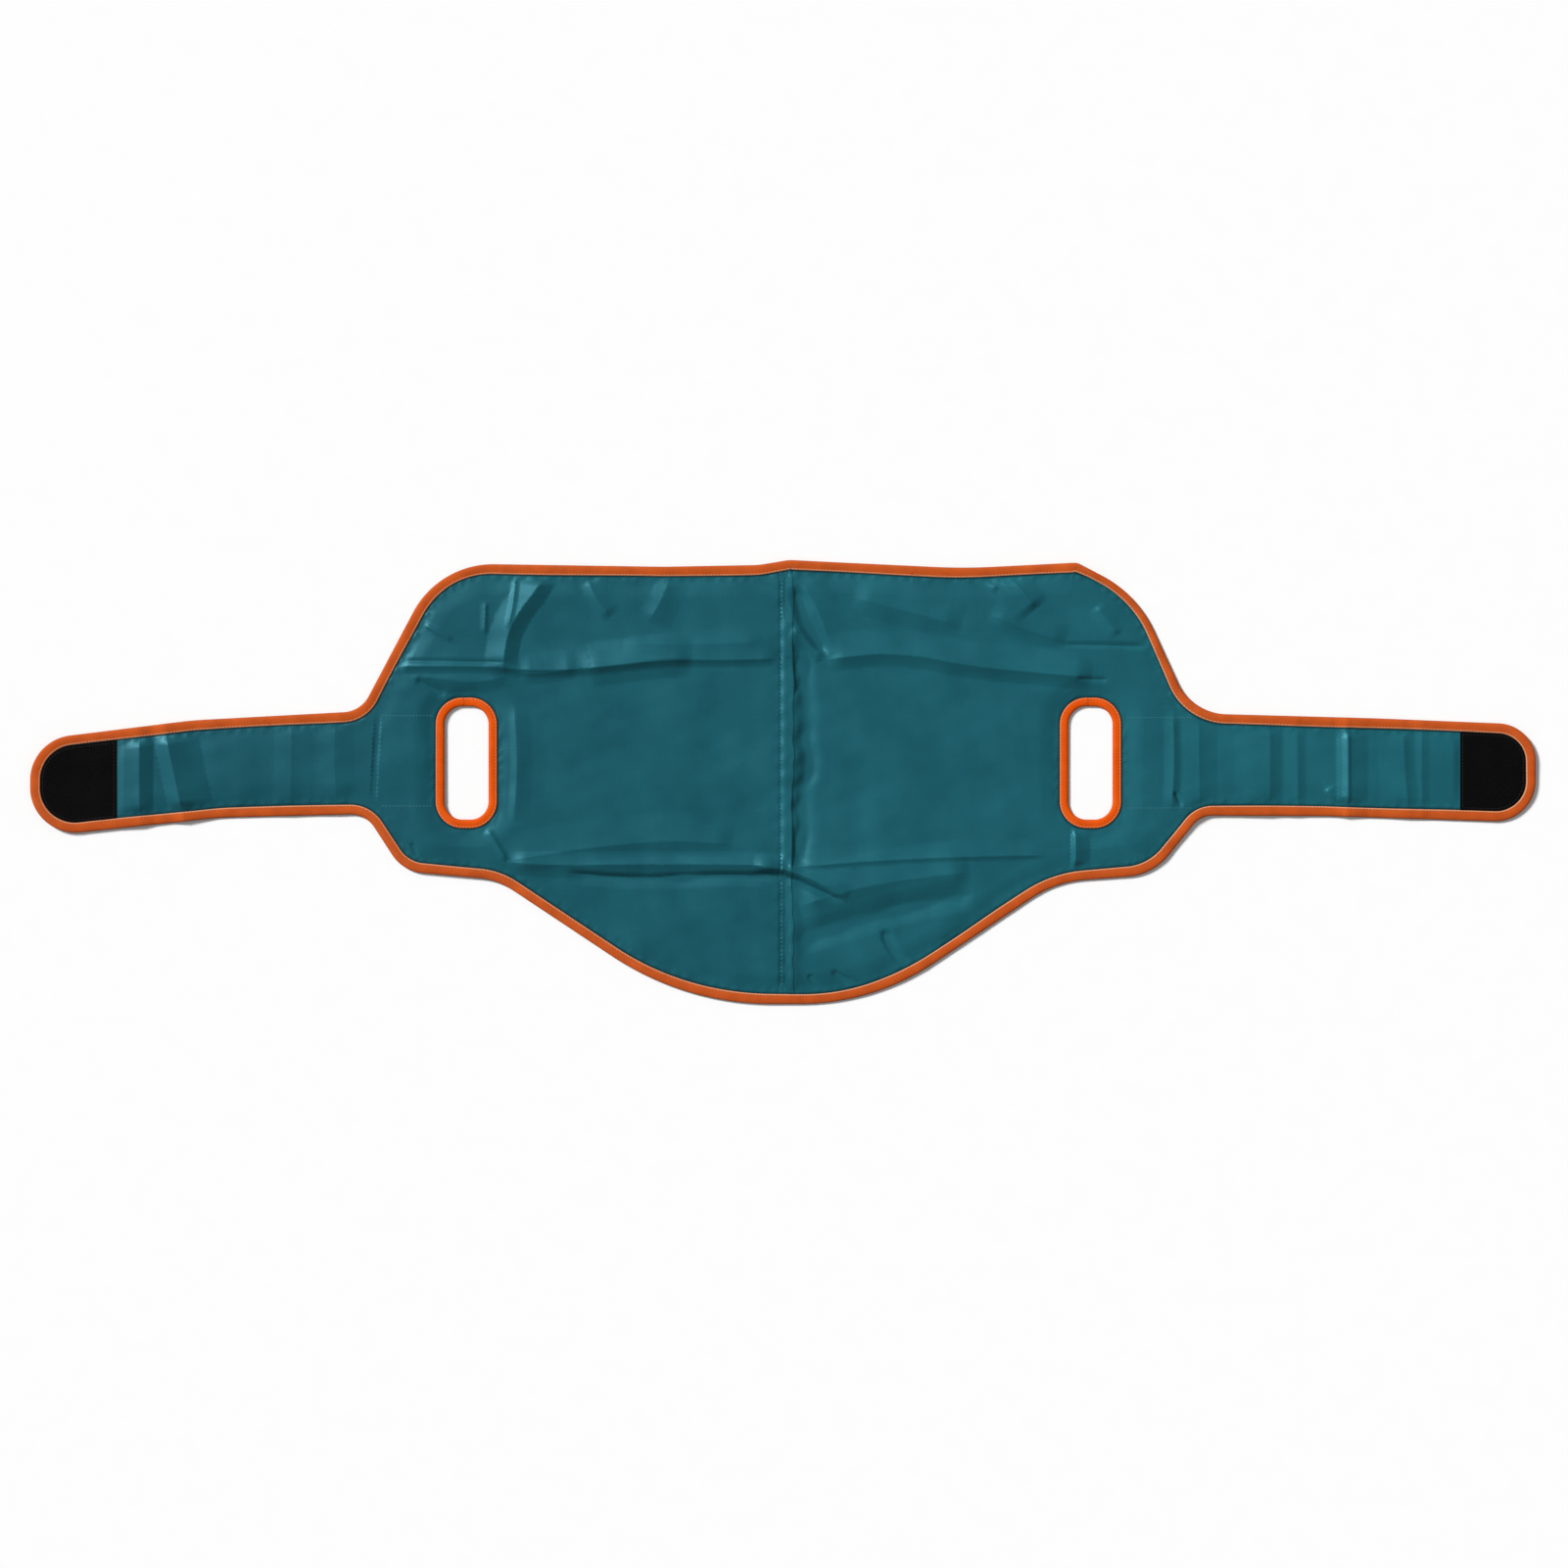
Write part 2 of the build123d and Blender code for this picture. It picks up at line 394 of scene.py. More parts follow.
# Creases: height (negative is a valley), width on the left and on the right of the way it runs, the
# power that shapes its flanks, and the points that it runs through
CREASES = (
    # the packing crease above the waist, left half
    (
        2.2, 30, 8, 1.5,
        ((-388, 115), (-290, 115), (-268, 112), (-234, 111), (-190, 113), (-117, 122), (-54, 121), (-3, 123)),
    ),
    (3.0, 26, 19, 1.1, ((-200, 110), (-184, 115), (-160, 117), (-117, 123), (-90, 124))),
    (1.6, 22, 10, 1.2, ((-262, 108), (-240, 107), (-205, 113))),
    (-1.0, 4, 4, 1.4, ((-384, 121), (-330, 120), (-272, 119))),
    # the same crease, right half, and the drapes that meet it beside the seam
    (3.2, 26, 13, 1.3, ((43, 122), (70, 125), (97, 128), (139, 125), (181, 116), (238, 110), (308, 104))),
    (1.9, 7, 12, 1.2, ((9, 155), (22, 142), (31, 132), (41, 124))),
    (-3.0, 11, 10, 1.1, ((11, 196), (20, 168), (29, 150), (43, 126))),
    (1.3, 24, 9, 1.2, ((14, 204), (30, 180), (41, 158), (47, 126))),
    # the packing crease below the waist, left half
    (2.8, 13, 13, 1.3, ((-276, -80), (-234, -83), (-150, -82), (-71, -82), (-4, -83))),
    (2.0, 30, 15, 1.3, ((-272, -78), (-230, -71), (-180, -64), (-110, -58), (-50, -62))),
    (-2.2, 5, 12, 1.3, ((-215, -90), (-145, -97), (-60, -92), (-12, -94))),
    # the same crease, right half
    (1.3, 18, 5, 1.5, ((8, -85), (87, -79), (165, -75), (263, -73))),
    (3.4, 15, 6, 1.2, ((-30, -84), (6, -87), (34, -99), (66, -115))),
    (-2.4, 5, 7, 1.2, ((-30, -90), (6, -95), (34, -108), (60, -119))),
    # apron, right half
    (3.2, 34, 26, 1.2, ((16, -124), (70, -106), (130, -96), (186, -90))),
    (-2.4, 20, 16, 1.4, ((10, -160), (70, -142), (130, -124), (190, -112))),
    (-2.6, 9, 6, 1.3, ((100, -146), (106, -166), (127, -187))),
    (-2.0, 5, 5, 1.3, ((48, -188), (60, -196), (80, -205))),
    (-2.0, 5, 4, 1.3, ((25, -192), (33, -201), (44, -210))),
    # the deep fold at the left shoulder, and the upright creases beside it
    (3.6, 14, 20, 1.1, ((-233, 212), (-246, 190), (-261, 172), (-275, 146), (-279, 108))),
    (1.2, 5, 5, 1.4, ((-266, 210), (-268, 180), (-274, 152))),
    (1.0, 4, 6, 1.5, ((-296, 180), (-297, 147))),
    (1.0, 5, 5, 1.5, ((-359, 158), (-329, 141))),
    (1.5, 20, 13, 1.3, ((-372, 104), (-350, 104), (-305, 98), (-272, 106))),
    (-1.8, 8, 8, 1.4, ((-366, 103), (-336, 86))),
    (1.6, 16, 10, 1.3, ((-196, 204), (-186, 182), (-172, 164))),
    (1.4, 22, 14, 1.4, ((-112, 206), (-120, 182), (-134, 160))),
    (1.1, 20, 22, 1.5, ((-160, 138), (-90, 136), (-20, 140))),
    # left wing, below and beside the opening
    (1.5, 5, 6, 1.3, ((-296, -46), (-285, -62), (-275, -79))),
    (-1.4, 3, 4, 1.4, ((-370, -60), (-364, -76))),
    (-2.4, 3, 4, 1.2, ((-403, 70), (-405, 35), (-408, -25))),
    (1.2, 16, 7, 1.3, ((-268, 78), (-264, 20), (-268, -40))),
    # right shoulder and wing
    (3.0, 16, 26, 1.1, ((222, 210), (238, 190), (252, 172))),
    (1.6, 8, 8, 1.3, ((186, 209), (215, 192))),
    (2.0, 30, 16, 1.2, ((70, 184), (120, 171), (178, 155))),
    (1.8, 22, 12, 1.3, ((206, 168), (240, 152), (282, 140))),
    (-1.2, 5, 4, 1.3, ((274, 137), (320, 136), (368, 135))),
    (-1.0, 4, 4, 1.3, ((292, 103), (324, 102))),
    (1.4, 10, 12, 1.3, ((312, 176), (334, 146))),
    (3.0, 15, 4, 1.0, ((291, -38), (291, -60), (291, -88))),
    # right end of the wing
    (1.6, 8, 10, 1.2, ((388, 72), (390, 20), (387, -30))),
    (-1.6, 3, 4, 1.2, ((390, -9), (397, -24))),
    (1.8, 12, 4, 1.2, ((541, -6), (546, -14), (556, -23))),
)

# Folds that run right across the straps, tapes and all
STRAP_FOLDS = (
    (2.6, 13, 24, 1.0, ((-640, 90), (-641, 10), (-639, -90))),
    (4.2, 31, 13, 1.0, ((-620, 80), (-614, 44), (-599, -25), (-590, -70))),
    (0.9, 26, 18, 1.2, ((-489, 90), (-490, 20), (-492, -80))),
    (0.8, 20, 22, 1.3, ((-446, 90), (-447, 20), (-443, -60))),
    (1.7, 19, 20, 1.1, ((414, 100), (414, 20), (416, -70))),
    (1.6, 13, 36, 1.2, ((485, 90), (485, 20), (484, -60))),
    (1.1, 9, 14, 1.2, ((512, 90), (512, 20), (513, -60))),
    (2.4, 20, 12, 1.0, ((563, 90), (563, 20), (563, -60))),
    (0.9, 4, 5, 1.0, ((562, 90), (562, 20), (562, -60))),
    (1.6, 11, 26, 1.1, ((619, 90), (618, 30), (621, -10), (628, -60))),
    (0.9, 8, 12, 1.2, ((637, 90), (636, 20), (638, -60))),
)

CREASE_SCALE = 1.3
CREASE_END = 22.0

# Soft hollows and swells: x, y, half length, half width, tilt in degrees, height
SWELLS = (
    (-150, 20, 130, 70, 8, 1.2),
    (-60, -20, 60, 110, 0, -0.9),
    (-120, -150, 100, 30, 20, 1.0),
    (150, 40, 120, 60, -8, 1.3),
    (210, -30, 60, 60, 0, -0.8),
    (90, -60, 80, 30, 12, 0.9),
    (330, 120, 50, 40, 0, 0.9),
    (-330, 160, 40, 60, -30, 0.9),
    (-540, 15, 30, 60, 0, 0.7),
    (680, 10, 30, 60, 0, 0.6),
    (60, 190, 60, 25, -15, 0.8),
)


def curved(path):
    """A path with its corners cut twice, so that it bends instead of kinking."""
    path = np.array(path, float)
    for _ in range(2):
        early = 0.75 * path[:-1] + 0.25 * path[1:]
        late = 0.25 * path[:-1] + 0.75 * path[1:]
        between = np.stack([early, late], axis=1).reshape(-1, 2)
        path = np.vstack([path[:1], between[1:-1], path[-1:]])
    return path


def crease_height(points, height, left, right, power, path):
    """A fold along a path: sharp at its crest, with a flank of its own width on each side."""
    path = curved(path)
    reach = max(left, right)
    near = ((points > path.min(0) - reach) & (points < path.max(0) + reach)).all(axis=1)
    result = np.zeros(len(points))
    if not near.any():
        return result
    local = points[near]
    runs = np.diff(path, axis=0)
    lengths = np.linalg.norm(runs, axis=1)
    before = np.concatenate([[0.0], np.cumsum(lengths)])
    best = np.full(len(local), 1e9)
    side = np.zeros(len(local))
    place = np.zeros(len(local))
    for start, run, length, travelled in zip(path, runs, lengths, before):
        offset = local - start
        share = np.clip(offset @ run / length**2, 0.0, 1.0)
        gap = np.linalg.norm(offset - share[:, None] * run, axis=1)
        turn = run[0] * offset[:, 1] - run[1] * offset[:, 0]
        closer = gap < best
        best[closer] = gap[closer]
        side[closer] = np.sign(turn[closer])
        place[closer] = travelled + share[closer] * length
    width = np.where(side >= 0, left, right)
    flank = np.maximum(0.0, 1.0 - best / width) ** power
    ends = np.minimum(place, before[-1] - place) / min(0.22 * before[-1], CREASE_END)
    result[near] = height * flank * smooth(0.15 + ends)
    return result


def swell_height(points, x, y, long, wide, tilt, height):
    c, s = math.cos(math.radians(tilt)), math.sin(math.radians(tilt))
    u = (points[:, 0] - x) * c + (points[:, 1] - y) * s
    v = (points[:, 1] - y) * c - (points[:, 0] - x) * s
    return height * np.exp(-((u / long) ** 2) - (v / wide) ** 2)


# Faint waves: how many, their shortest and longest, and their height as a share of their length
CRUMPLE_WAVES = 26
CRUMPLE_LENGTHS = (22.0, 120.0)
CRUMPLE_SHARE = 0.0014


def make_crumple():
    """Faint waves that cross in all directions, as in cloth that has been folded and shaken out."""
    random = np.random.default_rng(SEED)
    waves = []
    for _ in range(CRUMPLE_WAVES):
        length = random.uniform(*CRUMPLE_LENGTHS)
        angle = random.uniform(0.0, math.tau)
        size = CRUMPLE_SHARE * length
        waves.append((math.cos(angle) / length, math.sin(angle) / length, random.uniform(0, 9.0), size))
    return waves


CRUMPLE = make_crumple()


def crumple(points):
    total = np.zeros(len(points))
    for kx, ky, phase, size in CRUMPLE:
        total += size * np.sin(math.tau * (points[:, 0] * kx + points[:, 1] * ky) + phase)
    return total


def tape_distance(points):
    """How far each point is inside the nearest tape's free edge, and its place along that edge."""
    distance, along = edge.nearest(points)
    distance = distance - tape_width(points)
    for opening in openings.values():
        to_hole = opening.distance(points) - HANDLE_TAPE_WIDTH
        angle = np.arctan2(points[:, 1] - opening.centre[1], points[:, 0] - opening.centre[0])
        along = np.where(to_hole < distance, angle * 45.0, along)
        distance = np.minimum(distance, to_hole)
    return distance, along


def under_patch(points):
    """1 under a closure patch, where the cloth is held flat."""
    left = smooth((box_mm("left_front_patch")[1][0] + 8.0 - points[:, 0]) / 10.0)
    right = smooth((points[:, 0] + 8.0 - box_mm("right_front_patch")[0][0]) / 10.0)
    return np.maximum(left, right)


SEAM_ROW_X = (box_mm("centre_seam_stitching")[0][0] + box_mm("centre_seam_stitching")[1][0]) / 2

# The centre seam. On the left half: the ditch under its stitches, the lap beside them, and how far it
# sinks near the belt's edges. On the right half: the depth and half width of the hollow along it, and its
# ripples. The last is how far from the seam any of this goes.
SEAM_DITCH = 0.7
SEAM_LAP = 1.3
SEAM_SUNK = 2.6
HOLLOW_DEPTH = 3.0
HOLLOW_WIDTH = 9.0
HOLLOW_RIPPLE = 0.6
SEAM_REACH = 60.0


def seam_join(y):
    """The x of the left half's folded edge, which the stitches pull in and out."""
    wander = 0.7 * np.sin(y / 4.6 + 1.8 * np.sin(y / 27.0)) * (0.55 + 0.45 * np.sin(y / 37.0))
    return SEAM_X + wander + 0.7 * np.sin(y / 13.0) + 0.8 * np.sin(y / 48.0)


def seam_folds(points, left_half):
    """The centre seam: a raised lap with its topstitching on the left, a hollow along it on the right."""
    x, y = points[:, 0], points[:, 1]
    if left_half:
        past = x - SEAM_ROW_X
        ditch = -SEAM_DITCH * mound(past, 1.0)
        pull = 0.25 * np.sin(y / 2.6) * mound(past, 5.0)
        lap = SEAM_LAP * smooth((past + 1.0) / 5.0)
        ends = np.maximum(smooth((-70.0 - y) / 20.0), smooth((y - 158.0) / 22.0))
        sunk = -SEAM_SUNK * mound(x - 2.6, 4.2) * ends
        pucker = 0.3 * np.sin(y / 4.6 + 1.8 * np.sin(y / 27.0)) * smooth(past / 9.0)
        return ditch + pull + lap + sunk + pucker
    past = x - seam_join(y)
    depth = HOLLOW_DEPTH + 0.5 * np.sin(y / 15.0) + 0.3 * np.sin(y / 5.6)
    stretch = smooth((150.0 - y) / 26.0) * smooth((y + 96.0) / 24.0)
    middle = 11.0 + 3.0 * np.sin(y / 33.0 + 0.6) + 1.5 * np.sin(y / 9.0)
    hollow = -depth * mound(past - middle, HOLLOW_WIDTH) * (0.15 + 0.85 * stretch)
    wave = np.sin(y / 3.9 + 1.2 * np.sin(y / 17.0))
    ripples = HOLLOW_RIPPLE * wave * np.exp(-np.abs(past - 4.0) / 5.0)
    return hollow + ripples * (0.3 + 0.7 * stretch) + mound(past, 6.0)


def folds(points):
    """Everything that the cloth does between its bound edges, before it is held down at them."""
    total = crumple(points)
    for height, *shape in CREASES:
        total += crease_height(points, CREASE_SCALE * height, *shape)
    for height, *shape in STRAP_FOLDS:
        total += crease_height(points, height, *shape)
    for swell in SWELLS:
        total += swell_height(points, *swell)
    return total


# The front cloth between its tapes: how high it stands on the straps and how much higher on the body,
# how far from the tape its folds are free, and the puckers and the groove beside the tape
STRAP_LOFT = 1.2
BODY_LOFT = 1.0
BODY_END = 400.0
LOFT_REACH = 24.0
FREE_REACH = 11.0
PUCKER = 0.28
GATHER = 0.55
GROOVE = 0.55
PUCKER_WAVES = (2.1, 6.3, 9.0, 31.0, 53.0)
LOWEST = 0.12

# The lining takes this share of the swells and of the creases that are higher than a limit
LINING_SHARE = 0.35
LINING_CREASE_SHARE = 0.28
LINING_CREASE_LIMIT = 2.0


def front_height(points, left_half):
    """The front cloth's upper face."""
    inside, along = tape_distance(points)
    body = smooth((BODY_END - np.abs(points[:, 0])) / 60.0)
    loft = (STRAP_LOFT + BODY_LOFT * body) * smooth((inside + 1.0) / LOFT_REACH)
    free = smooth((inside - 0.5) / FREE_REACH)
    raised = loft + folds(points) * free
    near_seam = np.abs(points[:, 0] - SEAM_X) < SEAM_REACH
    if near_seam.any():
        raised[near_seam] += seam_folds(points[near_seam], left_half) * free[near_seam]
    a, b, c, d, e = (along / closing(divisor, edge.length) for divisor in PUCKER_WAVES)
    pucker = PUCKER * np.sin(a + 0.9 * np.sin(c)) * mound(inside - 2.5, 3.0)
    gather = np.sin(b + 2.1 * np.sin(d)) * (0.5 + 0.5 * np.sin(e))
    pucker += GATHER * gather * smooth(inside / 4.0) * np.exp(-np.maximum(inside, 0.0) / 9.0)
    groove = -GROOVE * mound(inside - 0.9, 0.9)
    raised = (raised + pucker) * (1.0 - under_patch(points)) + groove
    raised = at_least(raised, LOWEST * free, 4.0) - LOWEST
    return -at_least(-(lift(points) + FRONT_FACE + raised), -HIGHEST, 2.5)


def lining_height(points):
    """The lining's upper face: it follows the front's larger folds, less sharply."""
    inside, _ = tape_distance(points)
    total = np.zeros(len(points))
    for swell in SWELLS:
        total += swell_height(points, *swell)
    for height, left, right, _, path in CREASES:
        if height > LINING_CREASE_LIMIT:
            total += crease_height(points, LINING_CREASE_SHARE * height, left + 6.0, right + 6.0, 2.0, path)
    free = smooth(inside / 14.0)
    return lift(points) + LINING_FACE + LINING_SHARE * np.maximum(total, 0.0) * free


# ---------------------------------------------------------------- mesh makers

def placed(name, data):
    """A new object in the scene."""
    thing = bpy.data.objects.new(name, data)
    bpy.context.scene.collection.objects.link(thing)
    return thing


def make_object(name, points, faces, slot, vectors, normals=None):
    """A mesh object from points in millimetres, with vector attributes and, if given, its own normals."""
    mesh = bpy.data.meshes.new(name)
    mesh.from_pydata((np.asarray(points) * MM).tolist(), [], faces)
    mesh.polygons.foreach_set("use_smooth", np.ones(len(mesh.polygons), bool))
    for key, values in vectors:
        layer = mesh.attributes.new(key, "FLOAT_VECTOR", "POINT")
        layer.data.foreach_set("vector", np.asarray(values, np.float32).ravel())
    mesh.materials.append(MATERIALS[slot])
    mesh.update()
    if normals is not None:
        mesh.normals_split_custom_set_from_vertices(np.asarray(normals).tolist())
    thing = placed(name, mesh)
    return thing


def edge_y(x, inset):
    """The lowest and highest y at which the inset edge crosses x."""
    line = edge.inset(np.arange(0.0, edge.length + 1.0, 1.0), inset)
    before, after = line[:-1], line[1:]
    hit = np.nonzero((before[:, 0] - x) * (after[:, 0] - x) < 0)[0]
    share = (x - before[hit, 0]) / (after[hit, 0] - before[hit, 0])
    ys = before[hit, 1] + (after[hit, 1] - before[hit, 1]) * share
    return ys.min(), ys.max()


def cut_line(x, spacing, inset):
    """Points up a cut side: the same ones for both of the pieces that meet there."""
    low, high = edge_y(x, inset)
    ys = np.linspace(low, high, round((high - low) / spacing) + 1)
    return np.stack([np.full(len(ys), x), ys], axis=-1)


def side_cuts(low, high, spacing, inset):
    """A piece's two cut sides, with None where it runs to the belt's end."""
    return [cut_line(x, spacing, inset) if abs(x) < BEYOND else None for x in (low, high)]


def edge_groups(line, low, high, margin):
    """Indices of the runs of a closed line that lie between two x values."""
    inside = np.nonzero((line[:, 0] > low + margin) & (line[:, 0] < high - margin))[0]
    groups = np.split(inside, np.nonzero(np.diff(inside) > 1)[0] + 1)
    if len(groups) > 1 and groups[0][0] == 0 and groups[-1][-1] == len(line) - 1:
        groups = [np.concatenate([groups[-1], groups[0]]), *groups[1:-1]]
    return groups


def cloth_outline(low, high, spacing, inset, cuts):
    """The closed outline of the cloth between two x values, clockwise."""
    line = edge.inset(np.arange(0.0, edge.length, min(spacing, EDGE_STEP)), inset)
    outline = []
    for group in edge_groups(line, low, high, 0.7):
        run = line[group]
        outline.append(run)
        if abs(run[-1, 0] - high) < abs(run[-1, 0] - low):
            outline.append(cuts[1][::-1])
        else:
            outline.append(cuts[0])
    return np.vstack(outline)


def lattice(low, high, spacing):
    """A triangular grid of points between two x values, with closer columns where the belt bends."""
    rows = np.arange(*GRID_Y, spacing * GRID_ROW)
    points = []
    for index, y in enumerate(rows):
        odd = index % 2
        xs = np.arange(GRID_X[0] + odd * spacing / 2, GRID_X[1], spacing)
        for first, last in BENDS:
            step = min(spacing, (last - first) / BEND_COLUMNS)
            close = np.arange(first + odd * step / 2, last, step)
            xs = np.concatenate([xs[(xs < first - step) | (xs > last + step)], close])
        xs = xs[(xs > low) & (xs < high)]
        points.append(np.stack([xs, np.full(len(xs), y)], axis=-1))
    return np.vstack(points)


def along_creases():
    """Points along every crease, on its crest and close beside it."""
    made = []
    for crease in CREASES + STRAP_FOLDS:
        path = curved(crease[-1])
        reach = travelled(path)
        spots = walk(path, reach, np.linspace(0.0, reach[-1], max(3, round(reach[-1] / CREST_STEP))))
        beside = left_of(unit(np.gradient(spots, axis=0)))
        made += [spots, spots + beside * CREST_SIDE, spots - beside * CREST_SIDE]
    return np.vstack(made)


def thinned(points, others, gap):
    """The points that are farther than a gap from all the others."""
    tree = search_tree(others)
    return points[[tree.find((x, y, 0.0))[2] > gap for x, y in points]]


def doubled_areas(flat, triangles):
    """Twice each triangle's area, negative where it runs clockwise."""
    a, b, c = (flat[triangles[:, k]] for k in range(3))
    return (b[:, 0] - a[:, 0]) * (c[:, 1] - a[:, 1]) - (b[:, 1] - a[:, 1]) * (c[:, 0] - a[:, 0])


def triangulate(outlines, inner):
    """Fills outlines, using the inner points, and leaves the hand openings clear."""
    points = np.vstack([*outlines, inner])
    edges = []
    first = 0
    for outline in outlines:
        count = len(outline)
        edges += [(first + i, first + (i + 1) % count) for i in range(count)]
        first += count
    found = delaunay_2d_cdt([Vector(p) for p in points], edges, [], 1, 1e-5)
    flat = np.array([v[:] for v in found[0]])
    triangles = np.array([f[:3] for f in found[2]])
    centres = flat[triangles].mean(axis=1)
    keep = np.ones(len(triangles), bool)
    for opening in openings.values():
        keep &= opening.distance(centres) > CLOTH_CUT - 0.05
    triangles = triangles[keep]
    backward = doubled_areas(flat, triangles) < 0
    triangles[backward] = triangles[backward][:, ::-1]
    used, triangles = np.unique(triangles, return_inverse=True)
    return flat[used], triangles.reshape(-1, 3)


def with_crests(inner, low, high):
    """Adds the crease points that lie well inside a piece, and clears the others from beside them."""
    x = CREST_POINTS[:, 0]
    crests = CREST_POINTS[(x > low + CREST_TO_SIDE) & (x < high - CREST_TO_SIDE)]
    crests = crests[edge.nearest(crests)[0] > TAPE_WIDTH + CREST_TO_TAPE]
    crests = crests[edge_inside(crests)]
    for opening in openings.values():
        crests = crests[opening.distance(crests) > HANDLE_TAPE_WIDTH + CREST_TO_TAPE]
    if len(crests) == 0:
        return inner
    return np.vstack([thinned(inner, crests, CREST_CLEAR), crests])


def edge_inside(points):
    """Which points are inside the outer edge."""
    _, along = edge.nearest(points)
    return ((points - edge.at(along)) * edge.normal(along)).sum(axis=1) > 0


def ring_lines(spacing, rings):
    """Lines of points that follow the outer edge, that far inside it."""
    places = np.arange(0.0, edge.length, min(spacing, EDGE_STEP))
    lines = [edge.inset(places, depth) for depth in rings]
    return [line[edge.nearest(line)[0] > depth - 0.12] for line, depth in zip(lines, rings)]


def inner_grid(low, high, spacing, past):
    """The lattice between two x values, well past that far from the outer edge."""
    grid = lattice(low, high, spacing)
    return grid[edge.nearest(grid)[0] > past + spacing * CLEAR]


def cloth_plan(low, high, spacing, rings, inset=CLOTH_CUT, cuts=None, crested=False):
    """A triangulated plan of the cloth between two x values, finer beside the tapes."""
    if cuts is None:
        cuts = side_cuts(low, high, spacing, inset)
    outlines = [cloth_outline(low, high, spacing, inset, cuts)]
    inner = ring_lines(spacing, rings)
    grid = inner_grid(low, high, spacing, rings[-1])
    for opening in openings.values():
        if low < opening.centre[0] < high:
            step = min(spacing, EDGE_STEP)
            outlines.append(opening.loop(step, CLOTH_CUT)[1])
            outs = [depth - TAPE_WIDTH + HANDLE_TAPE_WIDTH for depth in rings]
            inner += [opening.loop(step, out)[1] for out in outs if out > CLOTH_CUT + 0.8]
            grid = grid[opening.distance(grid) > outs[-1] + spacing * CLEAR]
    inner = np.vstack([*inner, grid])
    margin = spacing * SIDE_CLEAR
    inner = inner[(inner[:, 0] > low + margin) & (inner[:, 0] < high - margin)]
    if crested:
        inner = with_crests(inner, low, high)
    return triangulate(outlines, inner)


CREST_POINTS = along_creases()

# How far to each side a face's slope is measured
SLOPE_REACH = 0.35


def shell(name, plan, height, thickness, slot, extra=None):
    """A closed thin sheet over a plan, with height(points) as its upper face."""
    flat, triangles = plan
    count = len(flat)
    top = height(flat)
    slopes = [
        (height(flat + step) - height(flat - step)) / (2 * SLOPE_REACH)
        for step in ((SLOPE_REACH, 0.0), (0.0, SLOPE_REACH))
    ]
    up = unit(np.stack([-slopes[0], -slopes[1], np.ones(count)], axis=-1))
    points = np.vstack([np.column_stack([flat, top]), np.column_stack([flat, top - thickness])])
    corners = np.vstack([triangles[:, [0, 1]], triangles[:, [1, 2]], triangles[:, [2, 0]]])
    forward = corners[:, 0] * count + corners[:, 1]
    backward = corners[:, 1] * count + corners[:, 0]
    rim = corners[~np.isin(forward, backward)]
    faces = triangles.tolist()
    faces += (triangles[:, ::-1] + count).tolist()
    faces += [(b, a, a + count, b + count) for a, b in rim.tolist()]
    vectors = [("rest", points)]
    if extra is not None:
        # the extra values, when given, are the painted shade for the cloth's colour
        shade = extra(flat)
        vectors.append(("shade", np.vstack([shade, shade])))
    return make_object(name, points, faces, slot, vectors, np.vstack([up, -up]))


def joined_object(name, parts, slot):
    """A mesh object from several (points, faces, places)."""
    points, faces, where = joined(parts)
    return make_object(name, points, faces, slot, [("rest", where)])


def joined(parts):
    """Several (points, faces, places) put together as one."""
    points, faces, places = [], [], []
    first = 0
    for part_points, part_faces, part_places in parts:
        points.append(part_points)
        places.append(part_places)
        faces += [tuple(first + index for index in face) for face in part_faces]
        first += len(part_points)
    return np.vstack(points), faces, np.vstack(places)


# The small waves along the tape: their divisors, and the heights of the short and the middle ones
TAPE_WAVES = (4.3, 11.0, 23.0)
TAPE_WRINKLE = 0.09
TAPE_WAVE = 0.08
TAPE_TOP = 2.0

# Folded tape in section: (share of its width from the edge, extra distance, height) outside, then inside
TAPE_OUTSIDE = (
    (1.0, 0.0, 2.02),
    (1.0, -0.3, 2.36),
    (1.0, -1.1, 2.26),
    (1.0, -2.2, 2.46),
    (0.5, 0.0, 2.66),
    (0.0, 2.2, 2.56),
    (0.0, 0.9, 2.26),
    (0.0, 0.2, 1.78),
    (0.0, 0.0, 1.2),
    (0.0, 0.2, 0.62),
    (0.0, 0.9, 0.2),
    (0.0, 2.2, 0.04),
    (0.5, 0.0, 0.0),
    (1.0, -2.2, 0.02),
    (1.0, -1.1, 0.12),
    (1.0, -0.3, 0.04),
    (1.0, 0.0, 0.25),
)
TAPE_INSIDE = (
    (1.0, 0.0, 1.83),
    (1.0, -0.3, 1.84),
    (1.0, -1.1, 1.84),
    (1.0, -2.2, 1.86),
    (0.5, 0.0, 1.95),
    (0.0, 2.4, 1.92),
    (0.0, 1.3, 1.75),
    (0.0, 0.8, 1.5),
    (0.0, 0.6, 1.2),
    (0.0, 0.8, 0.9),
    (0.0, 1.3, 0.65),
    (0.0, 2.4, 0.54),
    (0.5, 0.0, 0.5),
    (1.0, -2.2, 0.5),
    (1.0, -1.1, 0.5),
    (1.0, -0.3, 0.5),
    (1.0, 0.0, 0.48),
)


def closing(divisor, length):
    """The divisor nearest to this one with which a wave closes up over a length."""
    return length / (math.tau * round(length / (math.tau * divisor)))


